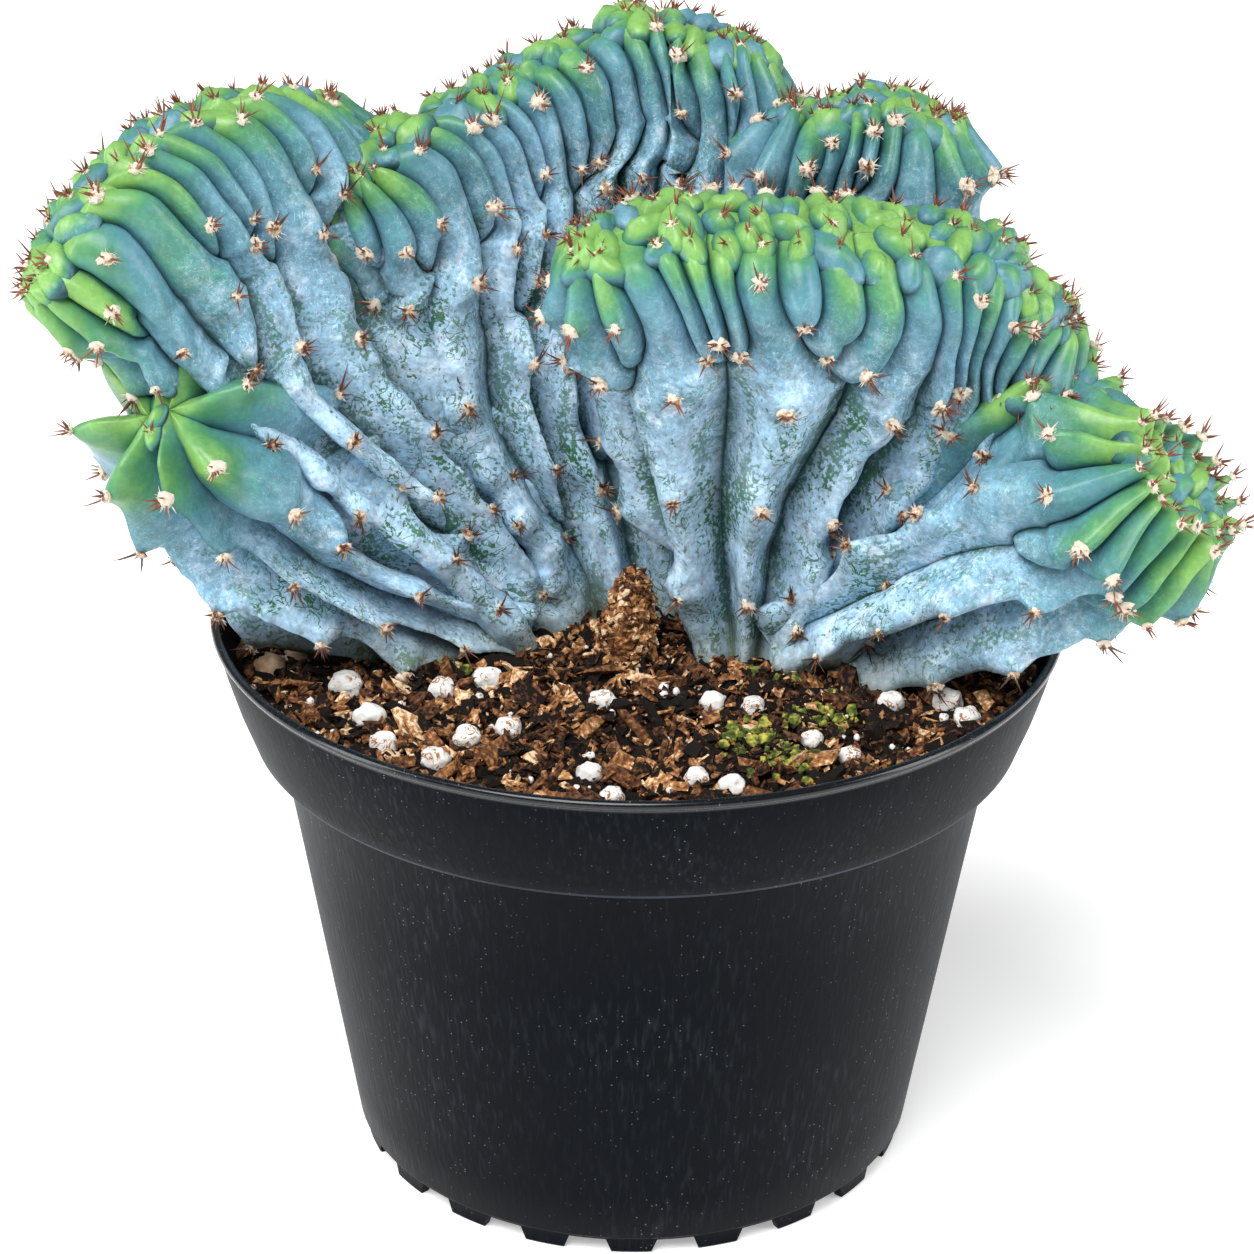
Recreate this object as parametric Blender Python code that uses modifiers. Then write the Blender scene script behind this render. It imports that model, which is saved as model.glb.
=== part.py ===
"""A potted crested blue candle cactus at its real size.

One grafted-looking clump of crested fans and three finger pups stands in a
black plastic nursery pot of 152 mm across the rim, in a gritty bark and
perlite mix.  Sizes below are millimetres, and meshes are made in metres.
+Z is up, the front looks along +Y, and the origin is on the floor under the
middle of the pot.
"""
import math

import bmesh
import bpy
import numpy as np

MM = 0.001
CLEAR = 0.3

# Pot
RIM_R = 76.0
POT_H = 105.1
WALL = 1.2
BEAD_H = 1.7
BAND_H = 21.8
BAND_TOP_R = 75.2
BAND_LOW_R = 69.2
BODY_TOP_R = 64.7
BODY_LOW_R = 51.5
STEP_Z = 3.7
FOOT_R = 50.4
FOOT_WALL = 2.2
FOOT_H = 2.8
FEET = 20
FLOOR_Z = 3.2
FLOOR_T = 1.8
DRAINS = 6
DRAIN_R = 4.5
DRAIN_RING_R = 38.0
POT_STEPS = 50

# Potting mix
SOIL_EDGE_Z = 96.0
SOIL_MID_Z = 100.0
SOIL_RINGS = 11
SOIL_STEPS = 44
SOIL_RELIEF = 1.6
SOCKET_CLEAR = 1.4
SOCKET_TOP = 0.6
SOCKET_ROWS = 8
SOCKET_COLS = 28

# Crested stems.  Every lobe is a column whose growing point has widened into a
# crest line.  crest: points that the line runs through.  base: middle of its
# foot, and base_half the half width of the foot along the fan.  reach, lean
# and fan place the middle of the rise.  thick: half thickness at foot and
# crest.  ends: how much of that is left at the two ends of the fan.  sides and
# caps: ribs along one side and round one end.
LOBES = {
    "front": dict(
        crest=[(-7, -24, 184), (3, -25, 187), (17, -24, 187), (32, -22, 185), (47, -18, 183),
               (61, -13, 178), (71, -9, 167)],
        base=(20, -6, 90), base_half=(5, 0, 0), reach=0.55, lean=(0, 9, 2), fan=(-3, 0, 0),
        thick=(7.5, 13.5), ends=(0.85, 0.95), sides=14, caps=6, seed=11),
    "left": dict(
        crest=[(-100, -28, 179), (-95, -24, 188), (-86, -12, 195), (-75, 0, 198),
               (-67, 9, 197), (-60, 16, 192)],
        base=(-16, 2, 90), base_half=(2, 6, 0), reach=0.55, lean=(4, 0, 3), fan=(0, 0, -11),
        thick=(8, 13), ends=(0.7, 0.9), sides=14, caps=6, seed=5),
    "back": dict(
        crest=[(-50, 4, 187), (-44, 14, 191), (-35, 24, 192), (-25, 32, 196), (-13, 38, 201),
               (-2, 40, 205), (8, 38, 204), (14, 34, 201)],
        base=(-2, 8, 90), base_half=(9, 2, 0), reach=0.55, lean=(0, 4, 0), fan=(-2, 0, 0),
        thick=(9, 13), ends=(0.8, 0.9), sides=16, caps=6, seed=21),
    "back_right": dict(
        crest=[(31, 26, 190), (40, 28, 194), (50, 24, 191)],
        base=(14, 8, 90), base_half=(5, 0, 0), reach=0.55, lean=(0, 4, 0), fan=(0, 0, 0),
        thick=(8, 14.5), ends=(1.0, 1.0), sides=5, caps=6, seed=31),
    "right_middle": dict(
        crest=[(72, -13, 156), (76, -12, 154)],
        base=(25, 0, 90), base_half=(3, 0, 0), reach=0.6, lean=(4, 0, -3), fan=(0, 0, 0),
        thick=(8, 12.5), ends=(1.0, 1.0), sides=1, caps=5, seed=41),
    "right_low": dict(
        crest=[(88, -27, 147), (95, -27, 141)],
        base=(26, -7, 98), base_half=(2, 0, -3), reach=0.6, lean=(2, -4, -2), fan=(0, 0, 0),
        thick=(9, 16.5), ends=(1.0, 1.0), sides=2, caps=7, seed=51),
    "left_low": dict(
        crest=[(-84, -21, 159), (-80, -21, 161)],
        base=(-19, 0, 98), base_half=(0.5, 0, 3), reach=0.6, lean=(-8, 6, -25), fan=(0, 0, 0),
        thick=(8, 19), ends=(1.0, 1.0), sides=1, caps=5, seed=61),
}
DOME_ROW = 0.8
RIB_DEPTH = 3.3
CREST_GROOVE = 1.6
TIP_LENGTH = 0.14
LEAST_OPEN = 0.3
STEM_ROWS = [0.0, 0.22, 0.4, 0.54, 0.65, 0.74, 0.8, 0.87, 0.94, 1.0]
RIB_STEPS = 2
AREOLE_BUMP = 1.5

# Spines
SPINE_CLUSTERS = 44
SPINES_EACH = 3
SPINE_R = 0.45
SPINE_LENGTH = (3.5, 6.0)
SPINE_ROOT = 1.4
SPINE_SPREAD = 1.1
SPINE_SIDES = 3
SPINE_SEED = 78

# Loose stones that lie in the mix: x, y and width.
PERLITE = [
    (-51, -20, 6.4), (-46, -32, 6.4), (-43, -41, 5.6), (-34, -47, 5.6), (-34, -23, 5.6),
    (-29, -40, 5.6), (-22, -37, 5.2), (-26, -20, 6.0), (-6, -28, 5.2), (-8, -52, 5.0),
    (-4, -59, 4.8), (13, -28, 5.0), (20, -29, 4.8), (10, -53, 4.8), (16, -55, 5.0),
    (30, -39, 4.4), (36, -44, 4.6), (44, -25, 5.2), (54, -24, 6.6), (57, -29, 5.6),
    (-20, 48, 5.8), (28, 45, 5.6), (50, 28, 5.2), (-52, 30, 6.0), (4, 58, 5.2),
]
PEBBLES = [(-65, -11, 6.2), (-60, -7, 5.0)]
STONE_SINK = 0.38
CHUNK_AT = (-1.5, -10.0, 106.0)
CHUNK_SIZE = (9.0, 6.0, 19.0)


def collection(name):
    made = bpy.data.collections.new(name)
    bpy.context.scene.collection.children.link(made)
    return made


def material(name, colour, roughness, metallic=0.0):
    mat = bpy.data.materials.new(name)
    mat.use_nodes = True
    shader = mat.node_tree.nodes["Principled BSDF"]
    shader.inputs["Base Color"].default_value = (*colour, 1.0)
    shader.inputs["Roughness"].default_value = roughness
    shader.inputs["Metallic"].default_value = metallic
    return mat


def add_mesh(name, points_mm, faces, group):
    mesh = bpy.data.meshes.new(name)
    mesh.from_pydata((np.asarray(points_mm) * MM).tolist(), [], faces)
    made = bpy.data.objects.new(name, mesh)
    group.objects.link(made)
    return made


def bake(target):
    """Apply every modifier of an object."""
    graph = bpy.context.evaluated_depsgraph_get()
    solid = bpy.data.meshes.new_from_object(target.evaluated_get(graph))
    target.modifiers.clear()
    old = target.data
    target.data = solid
    bpy.data.meshes.remove(old)


def turned(name, profile, steps, group):
    """Closed solid of revolution from a profile of (radius, height) points."""
    points = [(radius, 0.0, height) for radius, height in profile]
    edges = [(i, i + 1) for i in range(len(points) - 1)]
    mesh = bpy.data.meshes.new(name)
    mesh.from_pydata((np.array(points) * MM).tolist(), edges, [])
    made = bpy.data.objects.new(name, mesh)
    group.objects.link(made)
    screw = made.modifiers.new("turn", "SCREW")
    screw.axis = "Z"
    screw.angle = 2 * math.pi
    screw.steps = steps
    screw.render_steps = steps
    screw.use_merge_vertices = True
    screw.merge_threshold = 0.00001
    bake(made)
    return made


def boolean(target, cutters, operation, solver="EXACT"):
    """Cut or join a whole collection at once, then drop the collection's objects."""
    change = target.modifiers.new(operation.lower(), "BOOLEAN")
    change.operation = operation
    change.operand_type = "COLLECTION"
    change.collection = cutters
    change.solver = solver
    bake(target)
    for tool in list(cutters.objects):
        bpy.data.objects.remove(tool)


def inner_wall():
    """Inside of the pot from its floor to the bead, as (radius, height) points."""
    floor_top = FLOOR_Z + FLOOR_T
    ledge = POT_H - BAND_H
    return [
        (BODY_LOW_R - WALL - 1.6, floor_top),
        (BODY_LOW_R - WALL, floor_top + 1.6),
        (BODY_TOP_R - WALL, ledge + WALL),
        (BAND_LOW_R - WALL, ledge + WALL),
        (BAND_TOP_R - WALL, POT_H - BEAD_H),
    ]


def make_pot(parts, cutters):
    ledge = POT_H - BAND_H
    inner = inner_wall()
    bead = [
        (BAND_TOP_R - WALL, POT_H - 0.5),
        (BAND_TOP_R - WALL + 0.5, POT_H),
        (RIM_R - 0.7, POT_H),
        (RIM_R - 0.15, POT_H - 0.35),
        (RIM_R, POT_H - 0.9),
        (RIM_R - 0.2, POT_H - 1.4),
        (BAND_TOP_R, POT_H - BEAD_H),
    ]
    outer = [
        (BAND_LOW_R, ledge + 0.6),
        (BAND_LOW_R - 0.6, ledge),
        (BODY_TOP_R, ledge),
        (BODY_LOW_R, STEP_Z),
        (FOOT_R + 0.3, FLOOR_Z + 0.1),
        (FOOT_R, 0.0),
        (FOOT_R - FOOT_WALL, 0.0),
        (FOOT_R - FOOT_WALL, FLOOR_Z),
        (0.0, FLOOR_Z),
    ]
    profile = [(0.0, FLOOR_Z + FLOOR_T)] + inner + bead + outer
    pot = turned("nursery_pot", profile, POT_STEPS, parts)

    pitch = 2 * math.pi / FEET
    for i in range(FEET):
        middle = (i + 0.5) * pitch
        points = []
        for height, half in ((-1.0, 5.3), (FOOT_H, 3.7)):
            for radius in (FOOT_R - FOOT_WALL - 1.5, FOOT_R + 2.0):
                for side in (-1, 1):
                    angle = middle + math.radians(side * half)
                    points.append((radius * math.cos(angle), radius * math.sin(angle), height))
        faces = [(0, 1, 3, 2), (4, 6, 7, 5), (0, 4, 5, 1), (2, 3, 7, 6), (0, 2, 6, 4), (1, 5, 7, 3)]
        add_mesh(f"foot_notch_{i + 1:02d}", points, faces, cutters)
    for i in range(DRAINS):
        angle = 2 * math.pi * i / DRAINS
        bm = bmesh.new()
        bmesh.ops.create_cone(bm, cap_ends=True, segments=12, radius1=DRAIN_R * MM,
                              radius2=DRAIN_R * MM, depth=10 * MM)
        offset = (DRAIN_RING_R * MM * math.cos(angle), DRAIN_RING_R * MM * math.sin(angle),
                  (FLOOR_Z + FLOOR_T / 2) * MM)
        bmesh.ops.translate(bm, verts=bm.verts, vec=offset)
        mesh = bpy.data.meshes.new("drain")
        bm.to_mesh(mesh)
        bm.free()
        cutters.objects.link(bpy.data.objects.new(f"drain_{i + 1}", mesh))
    boolean(pot, cutters, "DIFFERENCE")
    pot.data.materials.append(material("black_nursery_plastic", (0.012, 0.013, 0.016), 0.42))
    return pot


def unit(vectors):
    return vectors / np.maximum(np.linalg.norm(vectors, axis=-1, keepdims=True), 1e-12)


def crest_curve(points, t):
    """Smooth curve through the crest's points, t from -1 to 1 along its length."""
    p = np.asarray(points, float)
    if len(p) == 2:
        return p[0] + (p[1] - p[0]) * ((np.asarray(t) + 1) / 2)[..., None]
    fine = np.linspace(0, len(p) - 1, 40 * (len(p) - 1) + 1)
    k = np.minimum(fine.astype(int), len(p) - 2)
    f = (fine - k)[:, None]
    ext = np.vstack([2 * p[0] - p[1], p, 2 * p[-1] - p[-2]])
    a, b, c, d = ext[k], ext[k + 1], ext[k + 2], ext[k + 3]
    curve = 0.5 * (2 * b + (c - a) * f + (2 * a - 5 * b + 4 * c - d) * f**2
                   + (3 * b - a - 3 * c + d) * f**3)
    run = np.concatenate([[0], np.cumsum(np.linalg.norm(np.diff(curve, axis=0), axis=1))])
    at = (np.asarray(t) + 1) / 2 * run[-1]
    return np.stack([np.interp(at, run, curve[:, i]) for i in range(3)], -1)


def mid_sheet(lobe, t, s):
    """Middle of the lobe: a bent rise from the foot, s = 0, to the crest line, s = 1."""
    foot = np.array(lobe["base"], float) + t[..., None] * np.array(lobe["base_half"], float)
    crest = crest_curve(lobe["crest"], t)
    bend = foot + (crest - foot) * lobe["reach"] + np.array(lobe["lean"], float)
    bend = bend + t[..., None] * np.array(lobe["fan"], float)
    s = s[..., None]
    return (1 - s) ** 2 * foot + 2 * s * (1 - s) * bend + s**2 * crest


def body_point(lobe, r, v):
    """Point and rise direction on the smooth lobe.

    r counts ribs round the lobe: the front side, one end, the back side, the
    other end.  v runs from the foot, 0, to the crest line, 1, and its last
    stretch above DOME_ROW rounds over the top in a quarter circle.
    """
    side, cap = lobe["sides"], lobe["caps"]
    r = np.mod(r, 2 * (side + cap))
    t = np.select([r < side, r < side + cap, r < 2 * side + cap],
                  [-1 + 2 * r / side, np.ones_like(r), 1 - 2 * (r - side - cap) / side], -1.0)
    turn = np.select([r < side, r < side + cap, r < 2 * side + cap],
                     [np.zeros_like(r), np.pi * (r - side) / cap, np.full_like(r, np.pi)],
                     np.pi + np.pi * (r - 2 * side - cap) / cap)
    top, foot = mid_sheet(lobe, t, np.ones_like(t)), mid_sheet(lobe, t, np.zeros_like(t))
    length = 1.06 * np.linalg.norm(top - foot, axis=-1)
    thin, thick = lobe["thick"]
    dome_s = 1 - thick / length
    rows = np.broadcast_to(v[:, None], r.shape)
    over = np.clip((rows - DOME_ROW) / (1 - DOME_ROW), 0, 1) * np.pi / 2
    rise = np.clip(rows / DOME_ROW, 0, 1)
    s = np.where(rows < DOME_ROW, dome_s * rise, dome_s + (1 - dome_s) * np.sin(over))
    radius = np.where(rows < DOME_ROW, thin + (thick - thin) * np.sin(np.pi / 2 * rise) ** 1.5,
                      thick * np.cos(over))
    left, right = lobe["ends"]
    radius = radius * (1 - (1 - left) * np.clip(-t, 0, 1) ** 2 - (1 - right) * np.clip(t, 0, 1) ** 2)
    step = 0.002
    up = unit(mid_sheet(lobe, t, np.minimum(s + step, 1)) - mid_sheet(lobe, t, np.minimum(s, 1 - step)))
    inner_t = np.clip(t, -1 + 2 * step, 1 - 2 * step)
    along = mid_sheet(lobe, inner_t + 2 * step, s) - mid_sheet(lobe, inner_t - 2 * step, s)
    out = unit(np.cross(along, up))
    away = np.cross(up, out)
    direction = np.cos(turn)[..., None] * out + np.sin(turn)[..., None] * away
    return mid_sheet(lobe, t, s) + radius[..., None] * direction, up


def rib_plan(lobe):
    """Which ribs run down to the foot, and how low the others reach."""
    count = 2 * (lobe["sides"] + lobe["caps"])
    rng = np.random.default_rng(lobe["seed"])
    gaps = []
    while sum(gaps) < count:
        gaps.append((3, 4, 3, 2)[len(gaps) % 4])
    gaps[-1] -= sum(gaps) - count
    gaps = [gap for gap in gaps if gap > 0]
    mains = np.concatenate([[0], np.cumsum(gaps)[:-1]]).astype(int)
    tip = np.full(count, -1.0)
    for first, gap in zip(mains, gaps):
        inner = np.arange(first + 1, first + gap)
        if len(inner):
            reach = np.sort(rng.uniform(0.30, 0.74, len(inner)))
            order = np.argsort(np.abs(inner - first - gap / 2) + rng.uniform(0, 0.4, len(inner)))
            tip[inner[order]] = reach
    return count, mains, tip


def rib_grid(lobe, v, steps):
    """Rib coordinate of every grid column, and each rib's openness at every row."""
    count, mains, tip = rib_plan(lobe)
    rise = np.clip((v[:, None] - tip[None, :]) / TIP_LENGTH, 0, 1)
    opened = np.sqrt(1 - (1 - rise) ** 2)
    opened[opened < LEAST_OPEN] = 0.0
    opened[:, mains] = 1.0
    rng = np.random.default_rng(lobe["seed"] + 7)
    uneven = 1 + (rng.uniform(0.85, 1.2, count) - 1) * np.sqrt(1 - v)[:, None]
    weight = opened * uneven
    edge = np.concatenate([np.zeros((len(v), 1)), np.cumsum(weight, 1)], 1)
    whole = edge[:, -1:]
    centre = edge[:, mains] + weight[:, mains] / 2
    centre_next = np.concatenate([centre[:, 1:], centre[:, :1] + whole], 1)
    phase = rng.uniform(0, 2 * np.pi, len(mains))
    wander = 0.75 * np.sin(phase + 5 * (1 - v[:, None])) * (1 - v[:, None]) * v[:, None]
    home = mains + 0.5 + wander
    home_next = np.concatenate([home[:, 1:], home[:, :1] + count], 1)
    r_edge = np.zeros((len(v), count + 1))
    for j in range(count + 1):
        group = np.searchsorted(mains + 0.5, j) - 1
        wrap = group < 0
        at = edge[:, j] + (whole[:, 0] if wrap else 0.0)
        share = (at - centre[:, group]) / (centre_next[:, group] - centre[:, group])
        r_edge[:, j] = home[:, group] + share * (home_next[:, group] - home[:, group])
        if wrap:
            r_edge[:, j] -= count
    x = -np.cos(np.pi * np.arange(steps) / steps)
    left, right = r_edge[:, :-1, None], r_edge[:, 1:, None]
    r = left + (x + 1) / 2 * (right - left)
    return r.reshape(len(v), -1), np.tile(x, count), opened, tip


def stem_surface(lobe, v, steps):
    """Ribbed surface of a lobe as rows of points, and the places of its areoles."""
    r, x, opened, tip = rib_grid(lobe, v, steps)
    base, up = body_point(lobe, r, v)
    ahead, _ = body_point(lobe, r + 0.02, v)
    behind, _ = body_point(lobe, r - 0.02, v)
    higher, _ = body_point(lobe, r, np.minimum(v + 0.02, 1))
    lower, _ = body_point(lobe, r, np.maximum(v - 0.02, 0))
    normal = unit(np.cross(ahead - behind, higher - lower))
    normal[v >= 0.999] = up[v >= 0.999]
    run = np.linalg.norm(np.diff(base[::-1], axis=0), axis=-1)
    from_crest = np.concatenate([np.zeros((1, base.shape[1])), np.cumsum(run, 0)])[::-1]

    rib = np.repeat(np.arange(len(tip)), steps)
    loop = np.linalg.norm(base - np.roll(base, 1, axis=1), axis=-1).sum(1)
    mean_width = loop / opened.sum(1)
    depth = np.minimum(RIB_DEPTH, 0.46 * mean_width) * (0.55 + 0.45 * np.clip(v / 0.2, 0, 1))
    round_rib = np.sqrt(np.clip(1 - np.abs(x) ** 2.2, 0, 1))
    relief = depth[:, None] * (round_rib[None, :] * opened[:, rib] - 1)

    rng = np.random.default_rng(lobe["seed"] + 3)
    areoles = []
    for k in range(len(tip)):
        column = k * steps + steps // 2
        down = from_crest[:, column]
        lowest = down[0] if tip[k] < 0 else np.interp(tip[k], v, down)
        at, step = rng.uniform(1.5, 4.0), rng.uniform(7, 10)
        while at < lowest - 2:
            bump = AREOLE_BUMP * rng.uniform(0.7, 1.2)
            near = np.exp(-np.abs((from_crest[:, column] - at) / 4.0) ** 1.4)
            relief[:, column] += bump * near * opened[:, k] * np.clip(v / 0.45, 0, 1)
            areoles.append((column, float(np.interp(-at, -down, v))))
            at, step = at + step, min(step * rng.uniform(1.3, 1.7), rng.uniform(17, 23))
    fade = np.clip((1 - v) / 0.05, 0, 1)[:, None]
    relief = relief * fade - CREST_GROOVE * (1 - fade)
    return base + normal * relief[..., None], normal, areoles


def tube_faces(rows, columns, bottom, top):
    """Quads of a closed grid of rows, with a fan of one face at each named end."""
    index = np.arange(rows * columns).reshape(rows, columns)
    low, high = index[:-1], index[1:]
    quads = np.stack([low, np.roll(low, -1, 1), np.roll(high, -1, 1), high], -1).reshape(-1, 4)
    faces = quads.tolist()
    if bottom:
        faces.append(index[0][::-1].tolist())
    if top:
        faces.append(index[-1].tolist())
    return faces


def tidy(made, distance_mm):
    """Weld doubles, split into triangles and turn every face outwards."""
    bm = bmesh.new()
    bm.from_mesh(made.data)
    bmesh.ops.remove_doubles(bm, verts=bm.verts, dist=distance_mm * MM)
    bmesh.ops.triangulate(bm, faces=bm.faces)
    bmesh.ops.recalc_face_normals(bm, faces=bm.faces)
    if bm.calc_volume(signed=True) < 0:
        bmesh.ops.reverse_faces(bm, faces=bm.faces)
    bm.to_mesh(made.data)
    bm.free()


def keep_outer_body(made):
    """Drop loose scraps and the walls of sealed pockets, which fills the pockets."""
    bm = bmesh.new()
    bm.from_mesh(made.data)
    left = set(bm.verts)
    bodies = []
    while left:
        body, front = set(), [left.pop()]
        while front:
            vertex = front.pop()
            body.add(vertex)
            for edge in vertex.link_edges:
                other = edge.other_vert(vertex)
                if other in left:
                    left.remove(other)
                    front.append(other)
        bodies.append(body)
    bodies.sort(key=len)
    for scrap in bodies[:-1]:
        bmesh.ops.delete(bm, geom=list(scrap), context="VERTS")
    bm.to_mesh(made.data)
    bm.free()


def make_spine(name, root, direction, length, twist, group):
    """Three-sided needle that starts under the skin at root."""
    across = unit(np.cross(direction, (0.3, 0.5, 0.81)))
    other = np.cross(direction, across)
    start = root - direction * SPINE_ROOT
    ring = []
    for i in range(SPINE_SIDES):
        angle = twist + 2 * math.pi * i / SPINE_SIDES
        ring.append(start + SPINE_R * (math.cos(angle) * across + math.sin(angle) * other))
    points = ring + [root + direction * length]
    faces = [(i, (i + 1) % SPINE_SIDES, SPINE_SIDES) for i in range(SPINE_SIDES)]
    made = add_mesh(name, points, faces + [tuple(range(SPINE_SIDES))[::-1]], group)
    tidy(made, 0.001)


def make_cactus(parts, joiners):
    """All fans and pups of the clump with their spines, one grown piece."""
    rows = np.array(STEM_ROWS)
    clusters = []
    first = None
    for name, lobe in LOBES.items():
        points, normal, areoles = stem_surface(lobe, rows, RIB_STEPS)
        faces = tube_faces(len(rows), points.shape[1], bottom=True, top=False)
        group = parts if first is None else joiners
        made = add_mesh("crested_cactus" if first is None else name, points.reshape(-1, 3), faces, group)
        tidy(made, 0.05)
        first = first or made
        for column, v in areoles:
            if v > 0.3:
                place = [np.interp(v, rows, points[:, column, i]) for i in range(3)]
                facing = [np.interp(v, rows, normal[:, column, i]) for i in range(3)]
                clusters.append((np.array(place), unit(np.array(facing))))
    rng = np.random.default_rng(SPINE_SEED)
    rng.shuffle(clusters)
    kept = []
    for place, facing in clusters:
        apart = all(np.linalg.norm(place - other) > 13.0 for other, _ in kept)
        if apart and len(kept) < SPINE_CLUSTERS:
            kept.append((place, facing))
    for i, (place, facing) in enumerate(kept):
        across = unit(np.cross(facing, (0.2, 0.3, 0.93)))
        other = np.cross(facing, across)
        start = rng.uniform(0, 2 * math.pi)
        for j in range(SPINES_EACH):
            angle = start + 2 * math.pi * j / SPINES_EACH
            splay = math.cos(angle) * across + math.sin(angle) * other
            make_spine(f"spine_{i + 1}_{j + 1}", place + SPINE_SPREAD * splay,
                       unit(facing + rng.uniform(0.3, 0.8) * splay), rng.uniform(*SPINE_LENGTH),
                       rng.uniform(0, 2), joiners)
    boolean(first, joiners, "UNION", "MANIFOLD")
    keep_outer_body(first)
    first.data.materials.append(material("waxy_blue_green_skin", (0.20, 0.36, 0.36), 0.5))
    return first


def soil_height(radius):
    """Top of the mounded mix, highest in the middle."""
    return SOIL_EDGE_Z + (SOIL_MID_Z - SOIL_EDGE_Z) * (1 - (radius / (BAND_TOP_R - WALL)) ** 2)


def make_soil(cactus, parts, cutters):
    """Mix that fills the pot, with a socket that the stems stand in."""
    stem_foot = min(vertex.co.z for vertex in cactus.data.vertices) / MM
    wall = inner_wall()
    edge_share = (SOIL_EDGE_Z - wall[3][1]) / (wall[4][1] - wall[3][1])
    edge_r = wall[3][0] + edge_share * (wall[4][0] - wall[3][0]) - CLEAR
    sides = [(radius - CLEAR - 0.1, height + CLEAR) for radius, height in reversed(wall[:4])]
    top = [(edge_r * i / SOIL_RINGS, soil_height(edge_r * i / SOIL_RINGS)) for i in range(SOIL_RINGS + 1)]
    profile = top + sides + [(0.0, wall[0][1] + CLEAR)]
    soil = turned("potting_mix", profile, SOIL_STEPS, parts)
    rng = np.random.default_rng(3)
    for vertex in soil.data.vertices:
        radius = math.hypot(vertex.co.x, vertex.co.y) / MM
        if vertex.co.z / MM > SOIL_EDGE_Z + 0.05:
            vertex.co.z -= rng.uniform(0, SOIL_RELIEF) * MM * min(1.0, (edge_r - radius) / 6)

    rows = np.linspace(0, SOCKET_TOP, SOCKET_ROWS)
    for name, lobe in LOBES.items():
        count = 2 * (lobe["sides"] + lobe["caps"])
        r = np.broadcast_to(np.linspace(0, count, SOCKET_COLS, endpoint=False), (SOCKET_ROWS, SOCKET_COLS))
        thin, thick = lobe["thick"]
        wider = dict(lobe, thick=(thin + SOCKET_CLEAR, thick + SOCKET_CLEAR))
        points, _ = body_point(wider, r, rows)
        well = points[:1].copy()
        well[..., 2] = stem_foot - CLEAR
        points = np.concatenate([well, points])
        faces = tube_faces(SOCKET_ROWS + 1, SOCKET_COLS, bottom=True, top=True)
        made = add_mesh(f"socket_{name}", points.reshape(-1, 3), faces, cutters)
        tidy(made, 0.01)
    return soil


def stone_mesh(name, seed, size, place, group, grow=0.0):
    """Rounded, slightly uneven stone, or its bed when it is grown."""
    rng = np.random.default_rng(seed)
    bm = bmesh.new()
    bmesh.ops.create_icosphere(bm, subdivisions=1, radius=1.0)
    stretch = np.array(size) / 2
    for vertex in bm.verts:
        swell = rng.uniform(0.95, 1.07)
        point = np.array(vertex.co) * stretch * swell
        point += unit(point) * grow
        vertex.co = (point + np.array(place)) * MM
    mesh = bpy.data.meshes.new(name)
    bm.to_mesh(mesh)
    bm.free()
    made = bpy.data.objects.new(name, mesh)
    group.objects.link(made)
    return made


def make_stones(soil, parts, cutters):
    """Perlite, pebbles and the upright bark chunk, each in its own bed in the mix."""
    white = material("white_perlite", (0.80, 0.79, 0.75), 0.9)
    tan = material("tan_pebble", (0.52, 0.42, 0.31), 0.8)
    bark = material("brown_bark", (0.22, 0.10, 0.05), 0.9)
    stones = []
    for label, places, mat in (("perlite", PERLITE, white), ("pebble", PEBBLES, tan)):
        for i, (x, y, width) in enumerate(places):
            size = (width, width * 0.86, width * 0.8)
            z = soil_height(math.hypot(x, y)) + size[2] * (0.5 - STONE_SINK) - SOIL_RELIEF / 2
            stones.append((f"{label}_{i + 1:02d}", 100 + i, size, (x, y, z), mat))
    stones.append(("bark_chunk", 300, CHUNK_SIZE, CHUNK_AT, bark))
    for name, seed, size, place, mat in stones:
        made = stone_mesh(name, seed, size, place, parts)
        made.data.materials.append(mat)
        stone_mesh(f"bed_{name}", seed, size, place, cutters, grow=CLEAR + 0.05)
    boolean(soil, cutters, "DIFFERENCE")
    keep_outer_body(soil)
    soil.data.materials.append(material("bark_and_grit_mix", (0.10, 0.055, 0.03), 0.95))


def main():
    for old in list(bpy.data.objects):
        bpy.data.objects.remove(old)
    parts = collection("potted_crested_cactus")
    cutters = collection("cutters")
    joiners = collection("joiners")
    make_pot(parts, cutters)
    cactus = make_cactus(parts, joiners)
    soil = make_soil(cactus, parts, cutters)
    make_stones(soil, parts, cutters)


main()
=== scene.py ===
"""Looks of a potted crested blue candle cactus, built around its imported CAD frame.

Shapes are worked out in millimetres and laid into meshes in metres.  +Z is up,
the front faces -Y and the origin is on the floor under the middle of the pot.
"""

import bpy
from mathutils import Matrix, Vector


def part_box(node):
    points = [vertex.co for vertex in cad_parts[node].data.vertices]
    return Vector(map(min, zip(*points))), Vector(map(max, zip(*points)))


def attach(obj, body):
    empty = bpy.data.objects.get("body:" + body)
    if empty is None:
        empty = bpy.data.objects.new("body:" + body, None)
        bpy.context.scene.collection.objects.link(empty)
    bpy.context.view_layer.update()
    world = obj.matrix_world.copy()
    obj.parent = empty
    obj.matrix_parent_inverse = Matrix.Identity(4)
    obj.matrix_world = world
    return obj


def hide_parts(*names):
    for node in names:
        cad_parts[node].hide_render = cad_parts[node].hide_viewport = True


bl_info = {
    "name": "Potted crested cactus",
    "version": (1, 0, 0),
    "blender": (4, 5, 0),
    "location": "3D View > Sidebar > Cactus",
    "description": "Crested candle cactus with its gritty mix and black nursery pot",
    "category": "Object",
}

import math

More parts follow.
